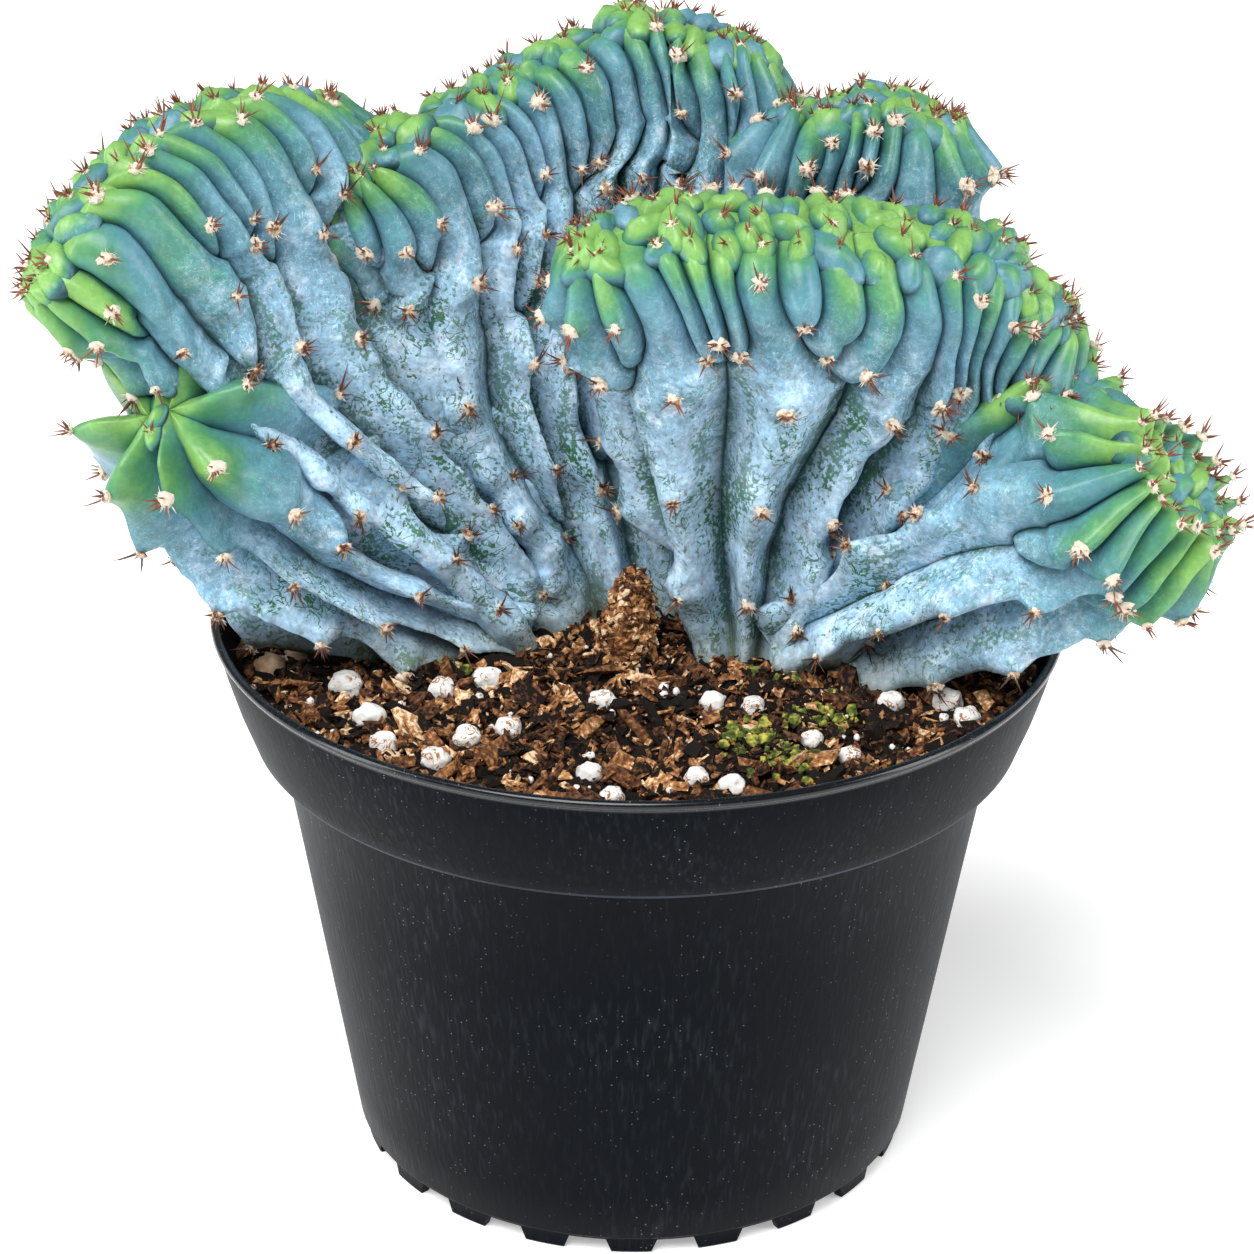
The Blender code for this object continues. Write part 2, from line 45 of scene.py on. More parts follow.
import bmesh
import bpy
import numpy as np
from bpy.props import FloatProperty, FloatVectorProperty, IntProperty, PointerProperty
from mathutils import Matrix

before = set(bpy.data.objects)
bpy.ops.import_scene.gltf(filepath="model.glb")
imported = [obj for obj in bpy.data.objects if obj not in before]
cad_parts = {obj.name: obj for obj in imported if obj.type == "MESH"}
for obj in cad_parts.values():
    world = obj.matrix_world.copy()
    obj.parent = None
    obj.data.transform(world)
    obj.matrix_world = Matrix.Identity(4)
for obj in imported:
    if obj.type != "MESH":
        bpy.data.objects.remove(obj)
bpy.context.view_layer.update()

MM = 0.001


def srgb(code):
    """Linear colour of an sRGB hex code."""
    parts = [int(code[i:i + 2], 16) / 255 for i in (1, 3, 5)]
    return tuple(c / 12.92 if c <= 0.04045 else ((c + 0.055) / 1.055) ** 2.4 for c in parts)


def colour_prop(name, description, code):
    """Colour setting whose default is an sRGB hex code."""
    return FloatVectorProperty(name=name, description=description, subtype="COLOR", size=3,
                               min=0.0, max=1.0, default=srgb(code))


def size_prop(name, description, value_mm):
    """Length setting with its default in millimetres."""
    return FloatProperty(name=name, description=description, default=value_mm * MM, min=0.0,
                         max=50 * MM, subtype="DISTANCE", unit="LENGTH")


class CrestSettings(bpy.types.PropertyGroup):
    """Ribs, tubercles and skin colours of the cactus"""

    rib_depth: size_prop("Rib depth", "How deep the creases between ribs are", 3.3)
    knob: size_prop("Areole knob", "How far a rib swells out under each areole", 1.5)
    tubercle: size_prop("Tubercle width", "Width of the packed tubercles along a crest", 5.5)
    steps: IntProperty(name="Columns a rib", description="Grid columns across one rib",
                       default=10, min=4, max=16)
    green: colour_prop("Growing green", "Skin at the growing crests", "#7AAA5A")
    mid_green: colour_prop("Mid green", "Skin just below a crest", "#4F8C62")
    teal: colour_prop("Teal", "Skin of the finger ribs", "#4D838C")
    blue: colour_prop("Waxy blue", "Older skin under its wax", "#6F9BB2")
    wax: colour_prop("Wax bloom", "Thick pale wax on the oldest skin", "#A6C8E0")
    rubbed: colour_prop("Rubbed green", "Skin where the wax has rubbed off", "#3D6E48")
    # Painted shade laid into the bottoms of the creases.
    crease_shade: colour_prop("Crease", "Deepest part of the creases", "#173F44")
    cork: colour_prop("Cork", "Dry brown skin at the foot", "#7C7A55")


class AreoleSettings(bpy.types.PropertyGroup):
    """Wool pads and spines"""

    pad: size_prop("Wool pad width", "Width of the wool pad of a grown areole", 3.1)
    spine_short: size_prop("Shortest spine", "Length of the shortest spines", 2.0)
    spine_long: size_prop("Longest spine", "Length of the longest spines", 5.4)
    spine_width: size_prop("Spine width", "Width of a spine at its foot", 0.62)
    wool: colour_prop("Wool", "Fresh areole wool", "#DDD0BE")
    old_wool: colour_prop("Old wool", "Weathered areole wool", "#B08A68")
    red: colour_prop("Young spine", "Spines near the crest", "#87492B")
    brown: colour_prop("Old spine", "Spines lower down", "#4E2E20")


class MixSettings(bpy.types.PropertyGroup):
    """Bark, moss, perlite and pebbles"""

    chips: IntProperty(name="Bark chips", description="Number of bark chips on the mix",
                       default=14500, min=100, max=16000)
    chip_length: size_prop("Chip length", "Usual length of a bark chip", 2.1)
    darkest: colour_prop("Darkest bark", "Wet, dark bark", "#120B07")
    brown: colour_prop("Brown bark", "Most of the bark", "#6A4329")
    orange: colour_prop("Orange bark", "Fresh broken bark", "#B5804F")
    straw: colour_prop("Straw bark", "Pale fibres", "#E6CDA9")
    moss: colour_prop("Moss", "Green crumbs of moss", "#5F6B2E")
    perlite: colour_prop("Perlite", "Expanded white perlite", "#E2E0DC")
    stain: colour_prop("Stain", "Bark juice in the cracks of the perlite", "#9A6840")
    pebble: colour_prop("Pebble", "Tan pebbles", "#C9A583")


class PotSettings(bpy.types.PropertyGroup):
    """Nursery pot"""

    steps: IntProperty(name="Steps round", description="Grid columns of the pot in one foot pitch",
                       default=14, min=8, max=20)
    plastic: colour_prop("Plastic", "Black plastic with a blue tone", "#05070B")
    # Colour of the rubs and of the pale line on the band's edge; the heavier rubs at the pot's left and
    # right edges paint a grey sheen there.
    scuffed_and_sheen: colour_prop("Scuffed plastic", "Rubbed and dusty plastic", "#454A54")
    dust: colour_prop("Dust", "Pale specks of dust", "#8E939C")


class StageSettings(bpy.types.PropertyGroup):
    """Floor and lights"""

    floor: colour_prop("Floor", "Pale floor", "#F4F4F4")
    key: FloatProperty(name="Key light", description="Strength of the big overhead light", default=3.45,
                       min=0.0, max=20.0)
    side: FloatProperty(name="Side lights", description="Power of each side softbox", default=6.0,
                        min=0.0, max=200.0, unit="POWER")
    sky: FloatProperty(name="Fill", description="Strength of the even fill light", default=0.24,
                       min=0.0, max=5.0)


def unit(vectors):
    """Vectors drawn to length 1."""
    return vectors / np.maximum(np.linalg.norm(vectors, axis=-1, keepdims=True), 1e-12)


def smooth(low, high, values):
    """0 below low, 1 above high and a smooth cubic between."""
    share = np.clip((values - low) / (high - low), 0, 1)
    return share * share * (3 - 2 * share)


def waves(points, seed, length, count=14):
    """Smooth noise: the sum of plane waves of about one length, in random directions."""
    rng = np.random.default_rng(seed)
    way = unit(rng.normal(size=(count, 3))) * (2 * np.pi / length * rng.uniform(0.6, 1.7, (count, 1)))
    phase = rng.uniform(0, 2 * np.pi, count)
    total = np.zeros(points.shape[:-1])
    for k, shift in zip(way, phase):
        total += np.cos(points @ k + shift)
    return total * math.sqrt(2 / count)


def lay_mesh(name, points, faces, mat, attributes=None, smooth_faces=True):
    """New object from points in millimetres, arrays of faces and per-point attributes."""
    points = np.asarray(points, float).reshape(-1, 3)
    groups = [f for f in (faces if isinstance(faces, list) else [faces]) if len(f)]
    corners = np.concatenate([f.ravel() for f in groups]).astype(np.int32)
    sizes = np.concatenate([np.full(len(f), f.shape[1]) for f in groups])
    mesh = bpy.data.meshes.new(name)
    mesh.vertices.add(len(points))
    mesh.vertices.foreach_set("co", (points * MM).ravel())
    mesh.loops.add(len(corners))
    mesh.loops.foreach_set("vertex_index", corners)
    mesh.polygons.add(len(sizes))
    mesh.polygons.foreach_set("loop_start", np.concatenate([[0], np.cumsum(sizes)[:-1]]).astype(np.int32))
    mesh.update(calc_edges=True)
    for key, values in (attributes or {}).items():
        values = np.asarray(values, float).reshape(len(points), -1)
        kind, field = ("FLOAT", "value") if values.shape[1] == 1 else ("FLOAT_VECTOR", "vector")
        mesh.attributes.new(key, kind, "POINT").data.foreach_set(field, values.ravel())
    mesh.polygons.foreach_set("use_smooth", np.full(len(mesh.polygons), smooth_faces))
    mesh.materials.append(mat)
    made = bpy.data.objects.new(name, mesh)
    bpy.context.scene.collection.objects.link(made)
    return made


def grid_faces(rows, columns):
    """Quads of a grid whose rows close round."""
    index = np.arange(rows * columns).reshape(rows, columns)
    low, high = index[:-1], index[1:]
    quads = np.stack([low, np.roll(low, -1, 1), np.roll(high, -1, 1), high], -1)
    return quads.reshape(-1, 4)


def shell_faces(rows, columns):
    """Faces of a closed shell of rings, whose two poles are the last two points.

    The quads between rings come first, then a fan of triangles from the first ring
    to its pole and one from the last ring to its own.
    """
    here = np.arange(columns)
    following = (here + 1) % columns
    last, pole = (rows - 1) * columns, rows * columns
    fans = [np.stack([np.full(columns, pole), here, following], -1),
            np.stack([last + following, last + here, np.full(columns, pole + 1)], -1)]
    return [grid_faces(rows, columns)[:, ::-1], np.concatenate(fans)]


def zip_faces(ring):
    """Quads that close a ring by joining its first point to its last, and so on inwards."""
    half = len(ring) // 2
    one, other = ring[:half], ring[::-1][:half]
    return np.stack([one[:-1], one[1:], other[1:], other[:-1]], -1)


def ball(rows, columns):
    """Unit ball: rings of latitude between two poles, with its faces."""
    lat = np.linspace(0, np.pi, rows + 2)[1:-1]
    lon = np.linspace(0, 2 * np.pi, columns, endpoint=False)
    ring = np.stack([np.sin(lat)[:, None] * np.cos(lon), np.sin(lat)[:, None] * np.sin(lon),
                     np.repeat(np.cos(lat)[:, None], columns, 1)], -1)
    return np.concatenate([ring.reshape(-1, 3), [[0, 0, 1], [0, 0, -1]]]), shell_faces(rows, columns)


def repeat_faces(groups, copies, stride):
    """Every group of faces again for each copy of a shape of stride points."""
    shift = (np.arange(copies) * stride)[:, None, None]
    return [(faces[None] + shift).reshape(-1, faces.shape[1]) for faces in groups]


def frames(facing, spin):
    """Two unit directions across each facing direction, turned by spin."""
    side = unit(np.cross(facing, [0.31, 0.47, 0.83]))
    other = np.cross(facing, side)
    c, s = np.cos(spin)[..., None], np.sin(spin)[..., None]
    return c * side + s * other, c * other - s * side


def add_node(tree, kind, inputs=None, stops=None, **settings):
    """Add a node, set its settings, and link or set its inputs; stops fill a colour ramp."""
    made = tree.nodes.new(kind)
    for key, value in settings.items():
        setattr(made, key, value)
    for key, value in (inputs or {}).items():
        if isinstance(value, bpy.types.NodeSocket):
            tree.links.new(value, made.inputs[key])
        else:
            made.inputs[key].default_value = value
    if stops:
        ramp = made.color_ramp
        while len(ramp.elements) < len(stops):
            ramp.elements.new(1.0)
        for element, (place, colour) in zip(ramp.elements, stops):
            element.position = place
            element.color = (*colour, 1.0)
    return made


def new_material(name, **constants):
    """Material with its shader's constants set straight on the sockets."""
    mat = bpy.data.materials.new(name)
    mat.use_nodes = True
    shader = mat.node_tree.nodes["Principled BSDF"]
    for key, value in constants.items():
        shader.inputs[key.replace("_", " ")].default_value = value
    return mat, mat.node_tree, shader


# Crested stems.  Every lobe is a column whose growing point has widened into a crest
# line.  crest: points of that line.  base: middle of its foot, base_half: half width
# of the foot.  reach, lean and fan place the middle of the rise.  thick: half
# thickness at foot and crest.  ends: what is left of it at the two ends.  sides, caps:
# ribs a side and round an end.
LOBES = {
    "front": dict(
        crest=[(-7, -24, 184), (3, -25, 187), (17, -24, 187), (32, -22, 185), (47, -18, 183),
               (61, -13, 178), (71, -9, 167)],
        base=(20, -6, 90), base_half=(5, 0, 0), reach=0.55, lean=(0, 9, 2), fan=(-3, 0, 0),
        thick=(7.5, 13.5), ends=(0.85, 0.95), sides=14, caps=6, seed=11),
    "left": dict(
        crest=[(-100, -28, 179), (-95, -24, 188), (-86, -12, 195), (-75, 0, 198),
               (-67, 9, 197), (-60, 16, 192)],
        base=(-16, 2, 90), base_half=(2, 6, 0), reach=0.55, lean=(4, 0, 3), fan=(0, 0, -11),
        thick=(8, 13), ends=(0.7, 0.9), sides=12, caps=6, seed=5),
    "back": dict(
        crest=[(-50, 4, 186), (-44, 14, 190), (-35, 24, 191), (-25, 32, 194), (-13, 37, 199),
               (-2, 39.5, 202.5), (8, 38.5, 202), (15, 35, 199.5)],
        base=(-2, 8, 90), base_half=(9, 2, 0), reach=0.55, lean=(0, 4, 0), fan=(-2, 0, 0),
        thick=(9, 13), ends=(0.8, 0.9), sides=13, caps=6, seed=21),
    "back_right": dict(
        crest=[(31, 25, 189.5), (40, 25, 193), (50, 24, 190.5)],
        base=(14, 8, 90), base_half=(5, 0, 0), reach=0.55, lean=(0, 4, 0), fan=(0, 0, 0),
        thick=(8, 14.5), ends=(1.0, 1.0), sides=5, caps=6, seed=31),
    "right_middle": dict(
        crest=[(72, -13, 156), (76, -12, 154)],
        base=(25, 0, 90), base_half=(3, 0, 0), reach=0.6, lean=(4, 0, -3), fan=(0, 0, 0),
        thick=(8, 12.5), ends=(1.0, 1.0), sides=1, caps=4, seed=41),
    "right_low": dict(
        crest=[(88, -27, 147), (95, -27, 141)],
        base=(26, -7, 98), base_half=(2, 0, -3), reach=0.6, lean=(2, -4, -2), fan=(0, 0, 0),
        thick=(9, 16.5), ends=(1.0, 1.0), sides=2, caps=7, seed=52),
    "left_low": dict(
        crest=[(-82.5, -22, 159), (-79, -22, 161)],
        base=(-19, 0, 98), base_half=(0.5, 0, 3), reach=0.6, lean=(-8, 3, -25), fan=(0, 0, 0),
        thick=(8, 17.5), ends=(1.0, 1.0), sides=1, caps=3, seed=61),
}
# A bent rise is about this much longer than the straight line from foot to crest.
RISE_LENGTH = 1.06
# Along a rib, 0 at the foot and 1 at the crest line: where the rounded dome begins, how
# long a rib's tip takes to open, and the first row.  Then the rows' spacing.
DOME_ROW = 0.8
TIP_LENGTH = 0.14
FIRST_ROW = 0.02
STEM_STEP_MM = 0.8
DOME_STEP_MM = 0.55
# In mm down from the crest: where round fingers give way to ridges, where those stand
# up to their full height, and where ribs come out from under the tubercles.
FINGERS_END = (26, 50)
FULL_RIDGES = (32, 62)
RIBS_START = (3.5, 9.5)
# How each lobe's ribs look: depth of the creases against rib_depth, how keeled the
# ribs are, whether tubercles cover the crest, how far the dome nods to the front, and
# how fast the skin ages down the ribs.
RIB_LOOKS = {
    "front": (1.45, 0.0, 1.0, 0.0, 1.0),
    "left": (1.45, 0.0, 1.0, 0.0, 0.8),
    "back": (1.45, 0.0, 1.0, 0.0, 1.15),
    "back_right": (1.4, 0.1, 1.0, 0.0, 1.05),
    "right_middle": (1.5, 0.45, 0.9, 15.0, 0.75),
    "right_low": (1.45, 0.45, 0.85, 25.0, 0.7),
    "left_low": (1.9, 1.0, 0.0, 36.0, 0.75),
}
# The left fan still grows at its left end, where the skin ages more slowly: x in mm of
# that end, and of the place where the slowness ends.
YOUNG_END = {"left": (-98.0, -50.0)}
# Ribs from one that runs down to the foot to the next, over and over; the big fans
# take theirs at random.
RIB_GAPS = {"back_right": (4, 5), "right_middle": (1,), "right_low": (3, 2), "left_low": (1,)}


def crest_curve(points, t):
    """Smooth curve through the crest's points, t from -1 to 1 along its length."""
    p = np.asarray(points, float)
    if len(p) == 2:
        return p[0] + (p[1] - p[0]) * ((np.asarray(t) + 1) / 2)[..., None]
    fine = np.linspace(0, len(p) - 1, 40 * (len(p) - 1) + 1)
    k = np.minimum(fine.astype(int), len(p) - 2)
    f = (fine - k)[:, None]
    ext = np.vstack([2 * p[0] - p[1], p, 2 * p[-1] - p[-2]])
    a, b, c, d = ext[k], ext[k + 1], ext[k + 2], ext[k + 3]
    curve = 0.5 * (2 * b + (c - a) * f + (2 * a - 5 * b + 4 * c - d) * f**2
                   + (3 * b - a - 3 * c + d) * f**3)
    run = np.concatenate([[0], np.cumsum(np.linalg.norm(np.diff(curve, axis=0), axis=1))])
    at = (np.asarray(t) + 1) / 2 * run[-1]
    return np.stack([np.interp(at, run, curve[:, i]) for i in range(3)], -1)


def mid_sheet(lobe, t, s):
    """Middle of the lobe: a bent rise from the foot, s = 0, to the crest line, s = 1."""
    foot = np.array(lobe["base"], float) + t[..., None] * np.array(lobe["base_half"], float)
    crest = crest_curve(lobe["crest"], t)
    bend = foot + (crest - foot) * lobe["reach"] + np.array(lobe["lean"], float)
    bend = bend + t[..., None] * np.array(lobe["fan"], float)
    s = s[..., None]
    return (1 - s) ** 2 * foot + 2 * s * (1 - s) * bend + s**2 * crest


def body_point(lobe, r, v):
    """Point and rise direction on the smooth lobe.

    r counts ribs round the lobe: the front side, one end, the back side, the
    other end.  v runs from the foot, 0, to the crest line, 1, and its last
    stretch above DOME_ROW rounds over the top in a quarter circle.
    """
    side, cap = lobe["sides"], lobe["caps"]
    r = np.mod(r, 2 * (side + cap))
    t = np.select([r < side, r < side + cap, r < 2 * side + cap],
                  [-1 + 2 * r / side, np.ones_like(r), 1 - 2 * (r - side - cap) / side], -1.0)
    turn = np.select([r < side, r < side + cap, r < 2 * side + cap],
                     [np.zeros_like(r), np.pi * (r - side) / cap, np.full_like(r, np.pi)],
                     np.pi + np.pi * (r - 2 * side - cap) / cap)
    top, foot = mid_sheet(lobe, t, np.ones_like(t)), mid_sheet(lobe, t, np.zeros_like(t))
    length = RISE_LENGTH * np.linalg.norm(top - foot, axis=-1)
    thin, thick = lobe["thick"]
    dome_s = 1 - thick / length
    rows = np.broadcast_to(v[:, None], r.shape)
    over = np.clip((rows - DOME_ROW) / (1 - DOME_ROW), 0, 1) * np.pi / 2
    rise = np.clip(rows / DOME_ROW, 0, 1)
    s = np.where(rows < DOME_ROW, dome_s * rise, dome_s + (1 - dome_s) * np.sin(over))
    radius = np.where(rows < DOME_ROW, thin + (thick - thin) * np.sin(np.pi / 2 * rise) ** 1.5,
                      thick * np.cos(over))
    left, right = lobe["ends"]
    radius = radius * (1 - (1 - left) * np.clip(-t, 0, 1) ** 2
                       - (1 - right) * np.clip(t, 0, 1) ** 2)
    step = 0.002
    up = unit(mid_sheet(lobe, t, np.minimum(s + step, 1))
              - mid_sheet(lobe, t, np.minimum(s, 1 - step)))
    inner_t = np.clip(t, -1 + 2 * step, 1 - 2 * step)
    along = mid_sheet(lobe, inner_t + 2 * step, s) - mid_sheet(lobe, inner_t - 2 * step, s)
    out = unit(np.cross(along, up))
    away = np.cross(up, out)
    direction = np.cos(turn)[..., None] * out + np.sin(turn)[..., None] * away
    return mid_sheet(lobe, t, s) + radius[..., None] * direction, up


def nodded(name, lobe, points, v):
    """Points with the dome turned forwards about its middle, more and more up the rows."""
    turn = np.radians(RIB_LOOKS[name][3]) * smooth(0.5, 0.84, v)
    thick = lobe["thick"][1]
    middle = np.zeros(1)
    top, foot = mid_sheet(lobe, middle, np.ones(1))[0], mid_sheet(lobe, middle, np.zeros(1))[0]
    hub_s = 1 - thick / (RISE_LENGTH * np.linalg.norm(top - foot))
    hub = mid_sheet(lobe, middle, np.array([hub_s]))[0]
    y, z = points[..., 1] - hub[1], points[..., 2] - hub[2]
    c, s = np.cos(turn), np.sin(turn)
    shape = (-1,) + (1,) * (points.ndim - 2)
    c, s = c.reshape(shape), s.reshape(shape)
    return np.stack([points[..., 0], hub[1] + c * y - s * z, hub[2] + s * y + c * z], -1)


def rib_plan(name, lobe):
    """Which ribs run down to the foot, and how low the others reach."""
    count = 2 * (lobe["sides"] + lobe["caps"])
    rng = np.random.default_rng(lobe["seed"])
    gaps = []
    while sum(gaps) < count:
        gaps.append(RIB_GAPS[name][len(gaps) % len(RIB_GAPS[name])] if name in RIB_GAPS
                    else int(rng.integers(4, 8)))
    gaps[-1] -= sum(gaps) - count
    if len(gaps) > 1 and gaps[-1] < min(gaps[:-1]):
        short = gaps.pop()
        gaps[-1] += short
    mains = np.concatenate([[0], np.cumsum(gaps)[:-1]]).astype(int)
    tip = np.full(count, -1.0)
    for first, gap in zip(mains, gaps):
        # Ribs between two that run down end at about these shares of the way up.
        inner = np.arange(first + 1, first + gap)
        if len(inner):
            reach = np.resize([0.72, 0.63, 0.70, 0.57, 0.68, 0.6], len(inner))
            reach += rng.uniform(-0.04, 0.04, len(inner))
            rng.shuffle(reach)
            tip[inner] = reach
            if gap > 4:
                tip[first + gap // 2] = rng.uniform(0.16, 0.4)
    return count, mains, tip


def rib_grid(name, lobe, v, steps):
    """Rib coordinate of every grid column, and each rib's openness at every row."""
    count, mains, tip = rib_plan(name, lobe)
    rise = np.clip((v[:, None] - tip[None, :]) / TIP_LENGTH, 0, 1)
    opened = np.sqrt(1 - (1 - rise) ** 2)
    opened[:, mains] = 1.0
    rng = np.random.default_rng(lobe["seed"] + 7)
    uneven = 1 + (rng.uniform(0.85, 1.2, count) - 1) * np.sqrt(1 - v)[:, None]
    kind = rng.uniform(0.78, 1.0, count)
    kind[mains] = rng.uniform(1.05, 1.3, len(mains))
    weight = opened * uneven * (1 + (kind - 1) * np.clip((1 - v) / 0.12, 0, 1)[:, None])
    edge = np.concatenate([np.zeros((len(v), 1)), np.cumsum(weight, 1)], 1)
    whole = edge[:, -1:]
    centre = edge[:, mains] + weight[:, mains] / 2
    centre_next = np.concatenate([centre[:, 1:], centre[:, :1] + whole], 1)
    phase = rng.uniform(0, 2 * np.pi, len(mains))
    room = np.minimum(np.diff(np.append(mains, count)),
                      np.diff(np.append(mains[-1] - count, mains)))
    wander = 0.36 * room * np.sin(phase + 6 * (1 - v[:, None])) * np.sin(np.pi * v[:, None])
    home = mains + 0.5 + wander
    home_next = np.concatenate([home[:, 1:], home[:, :1] + count], 1)
    r_edge = np.zeros((len(v), count + 1))
    for j in range(count + 1):
        group = np.searchsorted(mains + 0.5, j) - 1
        wrap = group < 0
        at = edge[:, j] + (whole[:, 0] if wrap else 0.0)
        share = (at - centre[:, group]) / (centre_next[:, group] - centre[:, group])
        r_edge[:, j] = home[:, group] + share * (home_next[:, group] - home[:, group])
        if wrap:
            r_edge[:, j] -= count
    x = -np.cos(np.pi * np.arange(steps) / steps)
    left, right = r_edge[:, :-1, None], r_edge[:, 1:, None]
    r = left + (x + 1) / 2 * (right - left)
    return r.reshape(len(v), -1), np.tile(x, count), opened, tip


def surface_normal(lobe, r, v, up):
    """Outward normal of the smooth lobe; on the crest line it is the rise direction."""
    ahead, _ = body_point(lobe, r + 0.02, v)
    behind, _ = body_point(lobe, r - 0.02, v)
    higher, _ = body_point(lobe, r, np.minimum(v + 0.02, 1))
    lower, _ = body_point(lobe, r, np.maximum(v - 0.02, 0))
    normal = unit(np.cross(ahead - behind, higher - lower))
    normal[v >= 0.999] = up[v >= 0.999]
    return normal


def stem_rows(lobe):
    """Rows about STEM_STEP_MM apart up the stem and DOME_STEP_MM apart over its dome."""
    middle = np.array([0.0])
    top, foot = mid_sheet(lobe, middle, np.ones(1)), mid_sheet(lobe, middle, np.zeros(1))
    length = float(np.linalg.norm(top - foot))
    thick = lobe["thick"][1]
    stem_count = max(20, int((length - thick) / STEM_STEP_MM))
    stem = np.linspace(FIRST_ROW, DOME_ROW, stem_count, endpoint=False)
    return np.concatenate([stem, np.linspace(DOME_ROW, 1, int(thick * 1.57 / DOME_STEP_MM))])


def rib_areoles(rng, lowest, main, scalloped, keeled, knob):
    """Areoles down one rib: distance from the crest, swelling, and its reach above and below.

    A fan's long finger ends in a nose 36 mm down.  Ribs of a pup or of a fan's end
    are scalloped, with an areole on every point.
    """
    places = []
    if scalloped:
        at = rng.uniform(3, 6) + 8 * keeled
        while at < lowest - 3:
            places.append((at, (1.3 + keeled) * knob * rng.uniform(0.8, 1.2), 4.6 + 3 * keeled, 3.6))
            at += rng.uniform(11.5, 15.5) + 5 * keeled
        return places
    if rng.uniform() < 0.62:
        places.append((rng.uniform(8, 15), 0.25 * knob, 4.0, 3.5))
    at = rng.uniform(33, 40)
    if main or lowest > at + 3:
        places.append((at, 1.25 * knob * rng.uniform(0.8, 1.2), 8.5, 3.0))
    if not main and lowest > 16:
        places.append((lowest - rng.uniform(3.5, 6.5), 0.9 * knob, 8.5, 3.0))
    while main and at < lowest - 26:
        at += rng.uniform(19, 25)
        places.append((at, 0.75 * knob * rng.uniform(0.7, 1.2), 7.0, 3.4))
    return places


